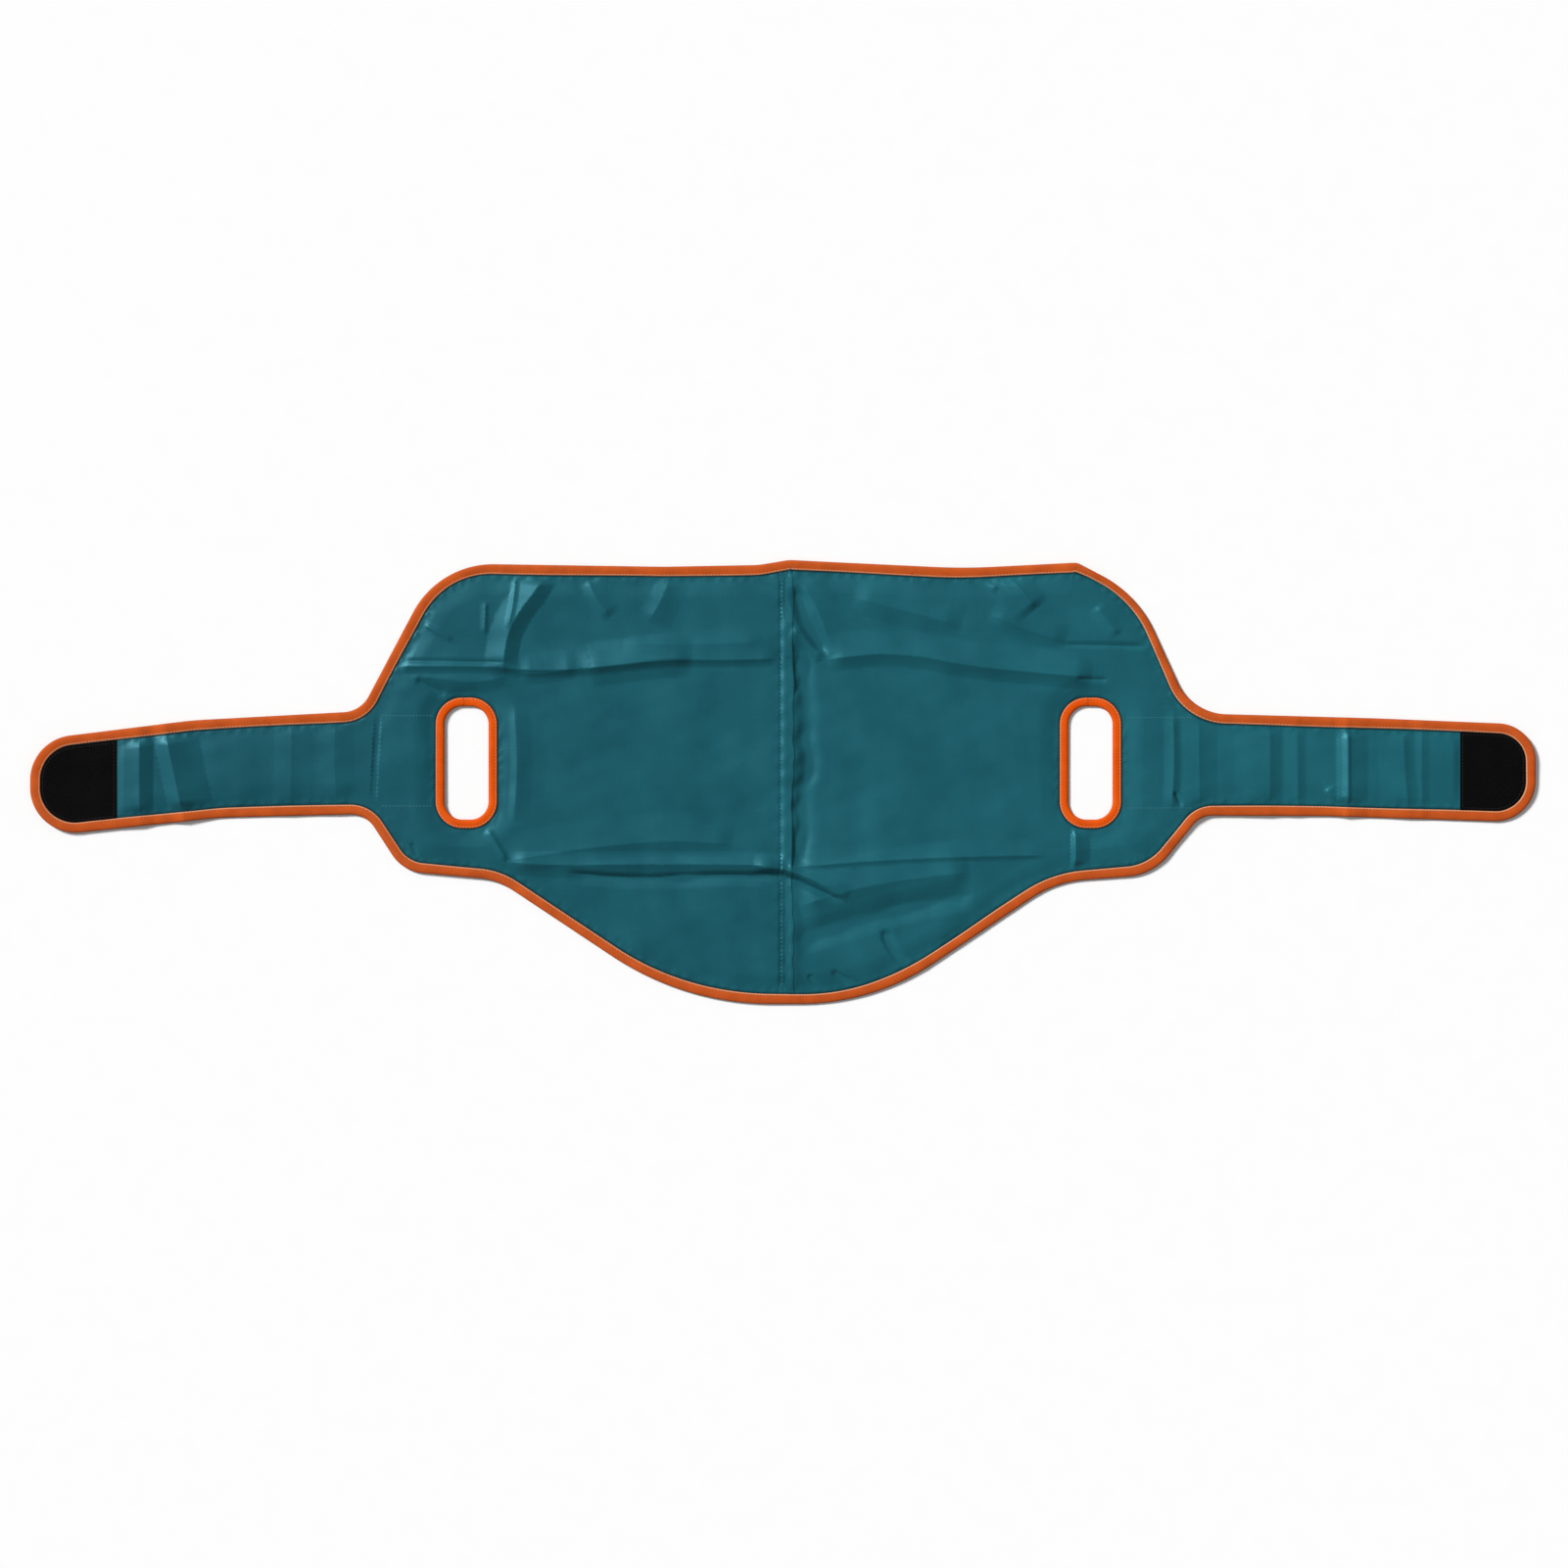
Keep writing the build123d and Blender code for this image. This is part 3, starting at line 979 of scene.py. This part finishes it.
def tape(along, points, inward, width, length, closed):
    """Tape folded over a part of an edge of that whole length: (points, faces, tape coordinates)."""
    section = np.array(TAPE_OUTSIDE + TAPE_INSIDE[::-1])
    around = len(section)
    half = around // 2
    across = width[:, None] * section[:, 0] + section[:, 1]
    flat = points[:, None, :] + inward[:, None, :] * across[:, :, None]
    height = np.broadcast_to(section[:, 2], across.shape).copy()
    on_top = section[:, 2] > TAPE_TOP
    short, middle, wide = (along / closing(divisor, length) for divisor in TAPE_WAVES)
    wrinkle = TAPE_WRINKLE * np.sin(short + 1.7 * np.sin(wide)) + TAPE_WAVE * np.sin(middle)
    height[:, on_top] += wrinkle[:, None]
    flat = flat.reshape(-1, 2)
    solid = np.column_stack([flat, height.ravel() + lift(flat)])
    faces = []
    count = len(along)
    for i in range(count if closed else count - 1):
        here, there = i * around, (i + 1) % count * around
        for j in range(around):
            k = (j + 1) % around
            faces.append((here + j, there + j, there + k, here + k))
    from_selvedge = width[:, None] - across
    where = np.column_stack([np.repeat(along, around), across.ravel(), from_selvedge.ravel()])
    if not closed:
        rings = [solid]
        for end, flip in ((0, False), (count - 1, True)):
            base = len(solid) + (len(rings) - 1) * around
            rings.append(solid[end * around : (end + 1) * around])
            for j in range(half - 1):
                cap = (base + j, base + around - 1 - j, base + around - 2 - j, base + j + 1)
                faces.append(cap if flip else cap[::-1])
        where = np.vstack([where, where[:around], where[-around:]])
        solid = np.vstack(rings)
    return solid, faces, where


# One stitch from end to end: place along it, and thickness there
STITCH_SHAPE = ((-0.46, 0.55), (-0.3, 0.95), (0.3, 0.95), (0.46, 0.55))
STITCH_SIDES = 6


def stitches(centres, ways, length, radius, dip):
    """A run of stitches, each a short plump length of thread whose ends go down into the cloth."""
    parts = []
    count = len(centres)
    across = left_of(ways)
    for share, size in STITCH_SHAPE:
        for k in range(STITCH_SIDES):
            angle = math.tau * k / STITCH_SIDES
            point = centres.copy()
            point[:, :2] += ways * length * share + across * radius * size * math.cos(angle)
            point[:, 2] += radius * 0.85 * size * math.sin(angle) - dip * (2 * share) ** 2
            parts.append(point)
    for share in (-0.5, 0.5):
        point = centres.copy()
        point[:, :2] += ways * length * share
        point[:, 2] -= dip
        parts.append(point)
    per = len(parts)
    points = np.stack(parts, axis=1).reshape(-1, 3)
    pattern = []
    for ring in range(len(STITCH_SHAPE) - 1):
        for k in range(STITCH_SIDES):
            a = ring * STITCH_SIDES + k
            b = ring * STITCH_SIDES + (k + 1) % STITCH_SIDES
            pattern.append((a, b, b + STITCH_SIDES, a + STITCH_SIDES))
    last = (len(STITCH_SHAPE) - 1) * STITCH_SIDES
    for k in range(STITCH_SIDES):
        after = (k + 1) % STITCH_SIDES
        pattern.append((per - 2, after, k))
        pattern.append((last + k, last + after, per - 1))
    faces = [tuple(n * per + index for index in face) for n in range(count) for face in pattern]
    return points, faces, points


# ---------------------------------------------------------------- materials

class Paint:
    """A node material, built up a value at a time."""

    def __init__(self, name):
        self.material = bpy.data.materials.new(name)
        self.material.use_nodes = True
        self.nodes = self.material.node_tree.nodes
        self.links = self.material.node_tree.links
        self.shader = self.nodes["Principled BSDF"]

    def feed(self, socket, value):
        if isinstance(value, bpy.types.NodeSocket):
            self.links.new(value, socket)
        elif socket.type == "RGBA":
            socket.default_value = (*value, 1.0)
        else:
            socket.default_value = value

    def make(self, kind, inputs, **settings):
        """A node with those settings and inputs."""
        node = self.nodes.new(f"ShaderNode{kind}")
        for key, value in settings.items():
            setattr(node, key, value)
        for key, value in inputs.items():
            self.feed(node.inputs[key], value)
        return node

    def place(self, name):
        """A point attribute in millimetres, which stays with the cloth when it bends."""
        return self.make("Attribute", {}, attribute_name=name).outputs["Vector"]

    def split(self, vector):
        return self.make("SeparateXYZ", {0: vector}).outputs

    def math(self, operation, *values):
        return self.make("Math", dict(enumerate(values)), operation=operation).outputs[0]

    def wave(self, value, pitch):
        return self.math("SINE", self.math("MULTIPLY", value, math.tau / pitch))

    def scaled(self, vector, scale):
        return self.make("VectorMath", {0: vector, 1: scale}, operation="MULTIPLY").outputs[0]

    def noise(self, vector, scale, detail=3.0, roughness=0.5):
        inputs = {"Vector": vector, "Scale": scale, "Detail": detail, "Roughness": roughness}
        return self.make("TexNoise", inputs).outputs["Fac"]

    def between(self, value, low, high, to_low, to_high):
        inputs = {"Value": value, "From Min": low, "From Max": high, "To Min": to_low, "To Max": to_high}
        return self.make("MapRange", inputs).outputs[0]

    def spread(self, noise, to_low, to_high):
        """Noise, whose values lie mostly between 0.3 and 0.7, spread over a range."""
        return self.between(noise, 0.3, 0.7, to_low, to_high)

    def mix(self, share, first, second):
        """Two colours mixed. A mix node's colours are its inputs 6 and 7, and its output 2."""
        return self.make("Mix", {"Factor": share, 6: first, 7: second}, data_type="RGBA").outputs[2]

    def bump(self, height, distance):
        return self.make("Bump", {"Strength": 1.0, "Distance": distance, "Height": height}).outputs[0]

    def set(self, **values):
        for key, value in values.items():
            self.feed(self.shader.inputs[key.replace("_", " ")], value)
        return self.material


# The pitch of each weave, mm, and the depth of each material's relief, m
FRONT_PITCH = 0.8
LINING_PITCH = 1.0
TAPE_RIB = 0.9
WEBBING_RIB = 1.6
FRONT_RELIEF = 0.00005
LINING_RELIEF = 0.00007
TAPE_RELIEF = 0.00008
THREAD_RELIEF = 0.0001


def woven(name, dark, light, pitch, painted_light_right=0.0):
    """Plain-woven nylon: a fine weave, slubs along both threads, soft changes of tone, and painted light that
    makes it lighter towards the right.
    """
    paint = Paint(name)
    rest = paint.place("rest")
    x, y, _ = paint.split(rest)
    weave = paint.math("MULTIPLY", paint.wave(x, pitch), paint.wave(y, pitch))
    slub_x = paint.noise(paint.scaled(rest, (0.02, 1.1, 0.0)), 1.0, 2.0)
    slub_y = paint.noise(paint.scaled(rest, (1.1, 0.02, 0.0)), 1.0, 2.0)
    slubs = paint.math("ADD", slub_x, slub_y)
    cloudy = paint.noise(rest, 0.016, 4.0, 0.6)
    tone = paint.math("ADD", paint.spread(cloudy, 0.1, 0.8), paint.between(slubs, 0.7, 1.3, -0.1, 0.1))
    # painted light: the colour lightens from left to right, as though more light fell on the right
    tone = paint.math("ADD", tone, paint.between(x, -500.0, 500.0, -painted_light_right, painted_light_right))
    relief = paint.math("ADD", paint.math("MULTIPLY", weave, 0.35), slubs)
    return paint, paint.mix(tone, dark, light), paint.spread(cloudy, 0.40, 0.48), relief


def front_cloth_material():
    """Teal nylon, with painted shade that darkens it in the crease against the tape."""
    dark, light = (0.0054, 0.067, 0.089), (0.0088, 0.098, 0.124)
    paint, colour, rough, relief = woven("front_cloth", dark, light, FRONT_PITCH, 0.4)
    # painted shade: the cloth's colour darkens beside the tape, where the crease against it is shadowed
    painted_tape_shade = paint.split(paint.place("shade"))[0]
    return paint.set(
        Base_Color=paint.mix(painted_tape_shade, colour, (0.0010, 0.006, 0.008)),
        Roughness=rough,
        Specular_IOR_Level=0.5,
        Specular_Tint=(0.25, 0.75, 0.92),
        Normal=paint.bump(relief, FRONT_RELIEF),
    )


def lining_material():
    dark, light = (0.0026, 0.055, 0.075), (0.0050, 0.080, 0.105)
    paint, colour, rough, relief = woven("lining_cloth", dark, light, LINING_PITCH)
    relief = paint.bump(relief, LINING_RELIEF)
    return paint.set(Base_Color=colour, Roughness=rough, Specular_IOR_Level=0.14, Normal=relief)


def tape_material(name, dark, light, selvedge):
    """Grosgrain tape: ribs across it, flecks, a paler selvedge, and painted shade that darkens the fold at
    its outer edge.
    """
    paint = Paint(name)
    where = paint.place("rest")
    along, across, from_selvedge = paint.split(where)
    wander = paint.noise(paint.scaled(where, (1.0, 1.0, 0.0)), 0.05, 3.0)
    fleck = paint.noise(paint.scaled(where, (2.2, 0.5, 0.0)), 1.0, 2.0)
    tone = paint.math("ADD", paint.spread(wander, 0.1, 0.8), paint.spread(fleck, -0.15, 0.15))
    colour = paint.mix(tone, dark, light)
    colour = paint.mix(paint.between(from_selvedge, 0.3, 1.5, 0.6, 0.0), colour, selvedge)
    # painted shade: the tape's colour darkens towards its fold over the edge, where it turns away from the
    # light
    fold = tuple(0.25 * value for value in dark)
    colour = paint.mix(paint.between(across, 0.0, 0.8, 0.7, 0.0), colour, fold)
    return paint.set(
        Base_Color=colour,
        Roughness=paint.spread(fleck, 0.5, 0.66),
        Specular_IOR_Level=0.2,
        Specular_Tint=(1.0, 0.5, 0.25),
        Normal=paint.bump(paint.math("ADD", paint.wave(along, TAPE_RIB), fleck), TAPE_RELIEF),
    )


def thread_material(name, dark, light):
    paint = Paint(name)
    where = paint.place("rest")
    twist = paint.noise(paint.scaled(where, (1.5, 1.5, 1.5)), 2.0, 2.0)
    return paint.set(
        Base_Color=paint.mix(twist, dark, light),
        Roughness=paint.spread(twist, 0.42, 0.6),
        Specular_IOR_Level=0.25,
        Normal=paint.bump(twist, THREAD_RELIEF),
    )


def pile_material(name, dark, light, grain, relief):
    """The face of a closure patch: fuzzy loops, or close rows of hooks."""
    paint = Paint(name)
    where = paint.place("rest")
    tufts = paint.noise(where, grain, 2.0, 0.7)
    broad = paint.noise(where, 0.05, 3.0)
    return paint.set(
        Base_Color=paint.mix(paint.between(tufts, 0.35, 0.7, 0.0, 1.0), dark, light),
        Roughness=paint.spread(broad, 0.7, 0.9),
        Specular_IOR_Level=0.04,
        Normal=paint.bump(tufts, relief),
    )


def webbing_material():
    paint = Paint("webbing")
    where = paint.place("rest")
    ribs = paint.wave(paint.split(where)[1], WEBBING_RIB)
    grain = paint.noise(where, 0.6, 3.0)
    return paint.set(
        Base_Color=paint.mix(grain, (0.003, 0.05, 0.07), (0.006, 0.08, 0.1)),
        Roughness=paint.spread(grain, 0.5, 0.7),
        Normal=paint.bump(paint.math("ADD", ribs, grain), THREAD_RELIEF),
    )


# Colours: dark and light, and a tape's selvedge or a patch's grain and relief
TAPES = {
    "edge_binding_tape": ((0.43, 0.066, 0.010), (0.58, 0.098, 0.015), (0.72, 0.36, 0.20)),
    "handle_binding_tape": ((0.62, 0.066, 0.002), (0.78, 0.098, 0.003), (0.82, 0.16, 0.02)),
}
THREADS = {
    "teal_thread": ((0.03, 0.16, 0.19), (0.07, 0.26, 0.30)),
    "orange_thread": ((0.52, 0.20, 0.09), (0.70, 0.36, 0.20)),
    "black_thread": ((0.004, 0.004, 0.005), (0.012, 0.012, 0.013)),
}
PILES = {
    "loop_patch": ((0.0007, 0.0007, 0.0008), (0.0046, 0.0046, 0.0050), 1.1, 0.0004),
    "hook_patch": ((0.0009, 0.0009, 0.0010), (0.0058, 0.0058, 0.0062), 1.6, 0.0003),
}
MATERIALS = {
    "front_cloth": front_cloth_material(),
    "lining_cloth": lining_material(),
    **{slot: tape_material(slot, *look) for slot, look in TAPES.items()},
    **{slot: thread_material(slot, *look) for slot, look in THREADS.items()},
    **{slot: pile_material(slot, *look) for slot, look in PILES.items()},
    "webbing": webbing_material(),
}


# ---------------------------------------------------------------- the pieces

# The x values between which the pieces that bend at each fold lie
MARKS = tuple(zip((-BEYOND, *SPLITS), (*SPLITS, BEYOND)))

# Lines of points along the outer edge: how far inside it
FRONT_RINGS = (6.6, 9.2, 10.1, 11.0, 12.2, 13.9, 16.0)
LINING_RINGS = (8.0, 13.0)

# The lap at the seam: columns of points behind its folded edge, how far back the edge rolls down, its gap
# to the right half, the spacing up the edge, and where the right half starts under it
LAP_COLUMNS = (0.35, 0.8, 1.35, 2.0, 3.0)
LAP_ROLL = 1.9
LAP_GAP = 0.1
LAP_SPACING = 1.1
UNDERLAP_X = 3.0
UNDERLAP_SPACING = 1.3

# The closure patches: their gap to the tape, the lines of points inside that, their face's height above
# the cloth, their thicknesses, and their stitches: how far inside the patch's curved edge and its straight
# side, and their height on the back
PATCH_GAP = 0.2
PATCH_RINGS = (0.5, 1.2)
PATCH_HEIGHT = 0.62
LOOP_THICKNESS = 0.6
HOOK_THICKNESS = 0.55
PATCH_ROW_INSET = 2.6
PATCH_ROW_SIDE = 2.7
PATCH_ROW_LEVEL = 0.29

# The layer between the cloths: height above the lining's face, thickness, and how much shorter the
# webbing is than the CAD's, where it would show through the strap's fold
INNER_HEIGHT = 0.36
INNER_THICKNESS = 0.34
INSERT_TRIM = 8.0


def attach(piece, to, *nodes):
    """Puts a piece in place of CAD nodes, which it hides. It moves with the body of that name. For a fold,
    its placement is only baked into its mesh.
    """
    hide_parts(*nodes)
    if to in BODIES:
        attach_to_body(piece, to)
    else:
        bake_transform(piece)


def panel_fold(index):
    """The fold that a body's front panel bends at, which is on its seam side."""
    return index if index <= CENTRE else index - 1


def fold_nodes(index, ending):
    """The nodes with that ending, of the bodies whose front panels bend at a fold."""
    return [f"{body}_{ending}" for place, body in enumerate(BODIES) if panel_fold(place) == index]


def painted_cloth_shade(points):
    """Painted shade: how far the cloth's colour is darkened in the crease against the tape, standing in for
    the shadow there.
    """
    inside, _ = tape_distance(points)
    # painted shade, strongest just inside the tape's edge
    painted_tape_shade = 0.95 * mound(inside - 0.4, 1.2)
    return np.column_stack([painted_tape_shade, inside, np.zeros(len(points))])


def left_front(points):
    """The left half's upper face. Its folded edge rolls down on to the right half at the seam."""
    height = front_height(points, True)
    near = points[:, 0] > SEAM_X - LAP_ROLL - 2.0
    if near.any():
        close = points[near]
        under = front_height(close, False) + CLOTH + LAP_GAP
        share = np.clip((seam_join(close[:, 1]) - close[:, 0]) / LAP_ROLL, 0.0, 1.0)
        rise = np.sqrt(np.maximum(1.0 - (1.0 - share) ** 2, 0.0))
        height[near] = under + (np.maximum(height[near], under) - under) * rise
    return height


def right_front(points):
    return front_height(points, False)


def seam_cut():
    """The left half's folded edge at the seam, from the bottom up."""
    line = cut_line(SEAM_X, LAP_SPACING, CLOTH_CUT)
    line[:, 0] = seam_join(line[:, 1])
    return line


def left_of_lap(points):
    return points[:, 0] < seam_join(points[:, 1]) - LAP_COLUMNS[-1] - 0.9


def front_pieces():
    """The front cloth, in eight pieces."""
    made = []
    marks = (-BEYOND, *SPLITS[:CENTRE], SEAM_X, *SPLITS[CENTRE:], BEYOND)
    for index, body in enumerate(BODIES):
        low, high = marks[index], marks[index + 1]
        height = left_front if index == CENTRE else right_front
        if index == CENTRE:
            plan = lap_plan(low, high)
        elif index == CENTRE + 1:
            seam_side = cut_line(UNDERLAP_X, UNDERLAP_SPACING, CLOTH_CUT)
            cuts = [seam_side, cut_line(high, FRONT_SPACING, CLOTH_CUT)]
            plan = cloth_plan(UNDERLAP_X, high, FRONT_SPACING, FRONT_RINGS, cuts=cuts, crested=True)
        else:
            plan = cloth_plan(low, high, FRONT_SPACING, FRONT_RINGS, crested=True)
        piece = shell(f"{body}_front_panel", plan, height, CLOTH, "front_cloth", painted_cloth_shade)
        attach(piece, panel_fold(index), f"{body}_front_cloth")
        made.append((piece, plan))
    return made


def lap_plan(low, high):
    """The left half beside the seam, with close columns of points along its folded edge."""
    lap = seam_cut()
    cuts = [cut_line(low, FRONT_SPACING, CLOTH_CUT), lap]
    outlines = [cloth_outline(low, high, FRONT_SPACING, CLOTH_CUT, cuts)]
    lines = ring_lines(FRONT_SPACING, FRONT_RINGS)
    lines.append(inner_grid(low, high, FRONT_SPACING, FRONT_RINGS[-1]))
    columns = [lap[1:-1] - (back, 0.0) for back in LAP_COLUMNS]
    inner = np.vstack([*columns, *[line[left_of_lap(line)] for line in lines]])
    clear = edge.nearest(inner)[0] > CLOTH_CUT + 0.5
    inner = inner[(inner[:, 0] > low + FRONT_SPACING * SIDE_CLEAR) & clear]
    return triangulate(outlines, with_crests(inner, low, SEAM_X - LAP_COLUMNS[-1]))


def lining_pieces():
    made = []
    for index, fold in enumerate(FOLDS):
        plan = cloth_plan(*MARKS[index], LINING_SPACING, LINING_RINGS)
        piece = shell(f"{fold.removesuffix('_fold')}_lining", plan, lining_height, CLOTH, "lining_cloth")
        attach(piece, index, *fold_nodes(index, "back_cloth"))
        made.append((piece, plan))
    return made


def bound_rows(spots, way, size):
    """The stitches that hold the folded tape, on both of its faces."""
    rows = []
    for level, dip in ROW_LEVELS:
        rows.append(stitches(np.column_stack([spots, lift(spots) + level]), way, *size, dip))
    return rows


def edge_tapes():
    """The outer binding and its stitching."""
    made = []
    count = round(edge.length / STITCH_PITCH)
    along_row = np.arange(count) * edge.length / count
    row_x = edge.at(along_row)[:, 0]
    for index, fold in enumerate(FOLDS):
        low, high = MARKS[index]
        name = fold.removesuffix("_fold")
        runs = [
            tape(along, points, inward, tape_width(points), edge.length, False)
            for along, points, inward in edge.runs(low, high)
        ]
        binding = joined_object(f"{name}_edge_binding", runs, "edge_binding_tape")
        attach(binding, index, *fold_nodes(index, "binding"))
        places = along_row[(row_x > low + 1.0) & (row_x < high - 1.0)]
        spots = edge.at(places)
        spots = spots + edge.normal(places) * (tape_width(spots) - ROW_INSET)[:, None]
        rows = bound_rows(spots, edge.way(places, 1.0), EDGE_STITCH)
        thread = joined_object(f"{name}_edge_stitching", rows, "orange_thread")
        attach(thread, index, *fold_nodes(index, "binding_stitching"))
        made.append((binding, thread))
    return made


def handle_tapes():
    """The hand openings' bindings and their stitching."""
    for side, opening in openings.items():
        along, points, inward = opening.loop(2.0)
        width = np.full(len(along), HANDLE_TAPE_WIDTH)
        folded = tape(along, points, inward, width, along[-1] + along[1], True)
        binding = joined_object(f"{side}_hand_opening_binding", [folded], "handle_binding_tape")
        attach(binding, f"{side}_wing", f"{side}_handle_binding")
        _, spots, _ = opening.loop(STITCH_PITCH, HANDLE_TAPE_WIDTH - ROW_INSET)
        way = unit(np.roll(spots, -1, axis=0) - np.roll(spots, 1, axis=0))
        rows = bound_rows(spots, way, HANDLE_STITCH)
        thread = joined_object(f"{side}_hand_opening_stitching", rows, "orange_thread")
        attach(thread, f"{side}_wing", f"{side}_handle_stitching")


def patch_top(points):
    """The front patch's face: a felt of loops, thinner at its sewn edge."""
    from_edge = edge.nearest(points)[0] - TAPE_WIDTH
    soft = 0.06 * np.sin(points[:, 0] * 1.9) * np.sin(points[:, 1] * 1.7)
    row = -0.12 * mound(from_edge - PATCH_GAP - PATCH_ROW_INSET, 0.9)
    return lift(points) + FRONT_FACE + PATCH_HEIGHT - 0.25 * np.exp(-from_edge / 0.6) + soft + row


def patch_under(points):
    """The rear patch's upper face, against the lining."""
    return lift(points) + LOOP_THICKNESS


def closure_patches():
    """A patch on each face of each end, and its stitching."""
    for side in ("left", "right"):
        low, high = box_mm(f"{side}_front_patch")
        if side == "left":
            ends = (-BEYOND, high[0])
            row_ends = (-BEYOND, high[0] - PATCH_ROW_SIDE)
        else:
            ends = (low[0], BEYOND)
            row_ends = (low[0] + PATCH_ROW_SIDE, BEYOND)
        inset = TAPE_WIDTH + PATCH_GAP
        plan = cloth_plan(*ends, PATCH_SPACING, [inset + depth for depth in PATCH_RINGS], inset=inset)
        row_inset = inset + PATCH_ROW_INSET
        row = cloth_outline(*row_ends, 1.0, row_inset, side_cuts(*row_ends, 1.0, row_inset))
        _, spots, way = even_spots(row, STITCH_PITCH, 0.6)
        for face, height, thickness, slot, level, dip in (
            ("front", patch_top, LOOP_THICKNESS, "loop_patch", patch_top(spots) + 0.02, TAPE_DIP),
            ("rear", patch_under, HOOK_THICKNESS, "hook_patch", lift(spots) + PATCH_ROW_LEVEL, 0.0),
        ):
            patch = shell(f"{side}_{face}_closure_patch", plan, height, thickness, slot)
            attach(patch, f"{side}_tip", f"{side}_{face}_patch")
            run = stitches(np.column_stack([spots, level]), way, *PATCH_STITCH, dip)
            thread = joined_object(f"{side}_{face}_closure_stitching", [run], "black_thread")
            attach(thread, f"{side}_tip", f"{side}_{face}_patch_stitching")


def straight_stitches(start, end, height, size):
    """A row of stitches from one point to another, over a face of that height."""
    start, end = np.array(start), np.array(end)
    reach = np.linalg.norm(end - start)
    count = round(reach / STITCH_PITCH)
    spots = start + ((np.arange(count) + 0.5) / count)[:, None] * (end - start)
    way = np.tile((end - start) / reach, (count, 1))
    return stitches(np.column_stack([spots, height(spots) + 0.1]), way, *size, CLOTH_DIP)


def inner_layer(points):
    """The upper face of what lies between the two cloths."""
    return lining_height(points) + INNER_HEIGHT


def grid_plan(low, high, spacing):
    """A plain rectangle of triangles."""
    xs = np.linspace(low[0], high[0], round((high[0] - low[0]) / spacing) + 1)
    ys = np.linspace(low[1], high[1], round((high[1] - low[1]) / spacing) + 1)
    flat = np.array([(x, y) for y in ys for x in xs])
    across = len(xs)
    triangles = []
    for j in range(len(ys) - 1):
        for a in range(j * across, (j + 1) * across - 1):
            triangles += [(a, a + 1, a + across + 1), (a, a + across + 1, a + across)]
    return flat, np.array(triangles)


def strap_inserts():
    """The straps' webbing ends, set into the body, and the rows that hold them."""
    for side in ("left", "right"):
        low, high = box_mm(f"{side}_strap_insert")
        if side == "left":
            low[0] += INSERT_TRIM
        else:
            high[0] -= INSERT_TRIM
        plan = grid_plan(low, high, PLAIN_SPACING)
        piece = shell(f"{side}_strap_webbing_end", plan, inner_layer, INNER_THICKNESS, "webbing")
        attach(piece, f"{side}_wing", f"{side}_strap_insert")
        low, high = box_mm(f"{side}_strap_insert_stitching")
        rows = [
            straight_stitches((low[0], y), (high[0], y), right_front, INSERT_STITCH)
            for y in (low[1] + 0.25, high[1] - 0.25)
        ]
        thread = joined_object(f"{side}_strap_webbing_stitching", rows, "teal_thread")
        attach(thread, f"{side}_wing", f"{side}_strap_insert_stitching")


def centre_seam():
    """The turned-under edge between the layers, and the row of stitches that holds it."""
    low, high = box_mm("centre_seam_allowance")
    low[1], high[1] = edge_y(low[0], CLOTH_CUT)
    plan = grid_plan(low, high, PLAIN_SPACING)
    # the turned-under layer uses the front cloth's material and the same painted shade against the tape
    layer = (plan, inner_layer, INNER_THICKNESS, "front_cloth", painted_cloth_shade)
    attach(shell("centre_seam_turning", *layer), CENTRE, "centre_seam_allowance")
    bottom, top = edge_y(SEAM_ROW_X, TAPE_WIDTH + 0.6)
    row = straight_stitches((SEAM_ROW_X, bottom), (SEAM_ROW_X, top), left_front, SEAM_STITCH)
    thread = joined_object("centre_seam_topstitching", [row], "teal_thread")
    attach(thread, CENTRE, "centre_seam_stitching")
    return thread


fronts = front_pieces()
linings = lining_pieces()
tapes = edge_tapes()
handle_tapes()
closure_patches()
strap_inserts()
seam_thread = centre_seam()


# ---------------------------------------------------------------- floor, light, camera

FLOOR_HALF = 60.0
WORLD_STRENGTH = 0.30
SUN_STRENGTH = 4.9
SUN_ANGLE = math.radians(14.0)
TOWARDS_SUN = (-0.80, 0.60, 0.62)
CAMERA_SPOT = (0.001, -0.002, 3.2)
FIELD_WIDTH = 1.564
SENSOR_WIDTH = 36.0


def floor():
    mesh = bpy.data.meshes.new("floor")
    corners = [(FLOOR_HALF * x, FLOOR_HALF * y, 0.0) for x, y in ((-1, -1), (1, -1), (1, 1), (-1, 1))]
    mesh.from_pydata(corners, [], [(0, 1, 2, 3)])
    thing = placed("floor", mesh)
    paint = Paint("floor")
    speckle = paint.noise(paint.place("position"), 40.0, 3.0)
    mesh.materials.append(
        paint.set(
            Base_Color=paint.mix(speckle, (0.87, 0.87, 0.87), (0.89, 0.89, 0.89)),
            Roughness=paint.spread(speckle, 0.8, 0.95),
            Specular_IOR_Level=0.1,
        )
    )


def lights():
    """Soft light from all round, and a wide sun from the upper left."""
    world = bpy.data.worlds.new("studio")
    world.use_nodes = True
    background = world.node_tree.nodes["Background"]
    background.inputs["Color"].default_value = (1.0, 1.0, 1.0, 1.0)
    background.inputs["Strength"].default_value = WORLD_STRENGTH
    bpy.context.scene.world = world
    key = bpy.data.lights.new("key", "SUN")
    key.energy = SUN_STRENGTH
    key.angle = SUN_ANGLE
    placed("key", key).rotation_euler = Vector(TOWARDS_SUN).to_track_quat("Z", "Y").to_euler()


def camera():
    """Straight down, with the field's width across the picture at the floor."""
    data = bpy.data.cameras.new("camera")
    data.sensor_width = SENSOR_WIDTH
    data.lens = SENSOR_WIDTH * CAMERA_SPOT[2] / FIELD_WIDTH
    data.clip_end = 200.0
    thing = placed("camera", data)
    thing.location = CAMERA_SPOT
    bpy.context.scene.camera = thing


floor()
lights()
camera()
bpy.context.scene.view_settings.view_transform = "Standard"
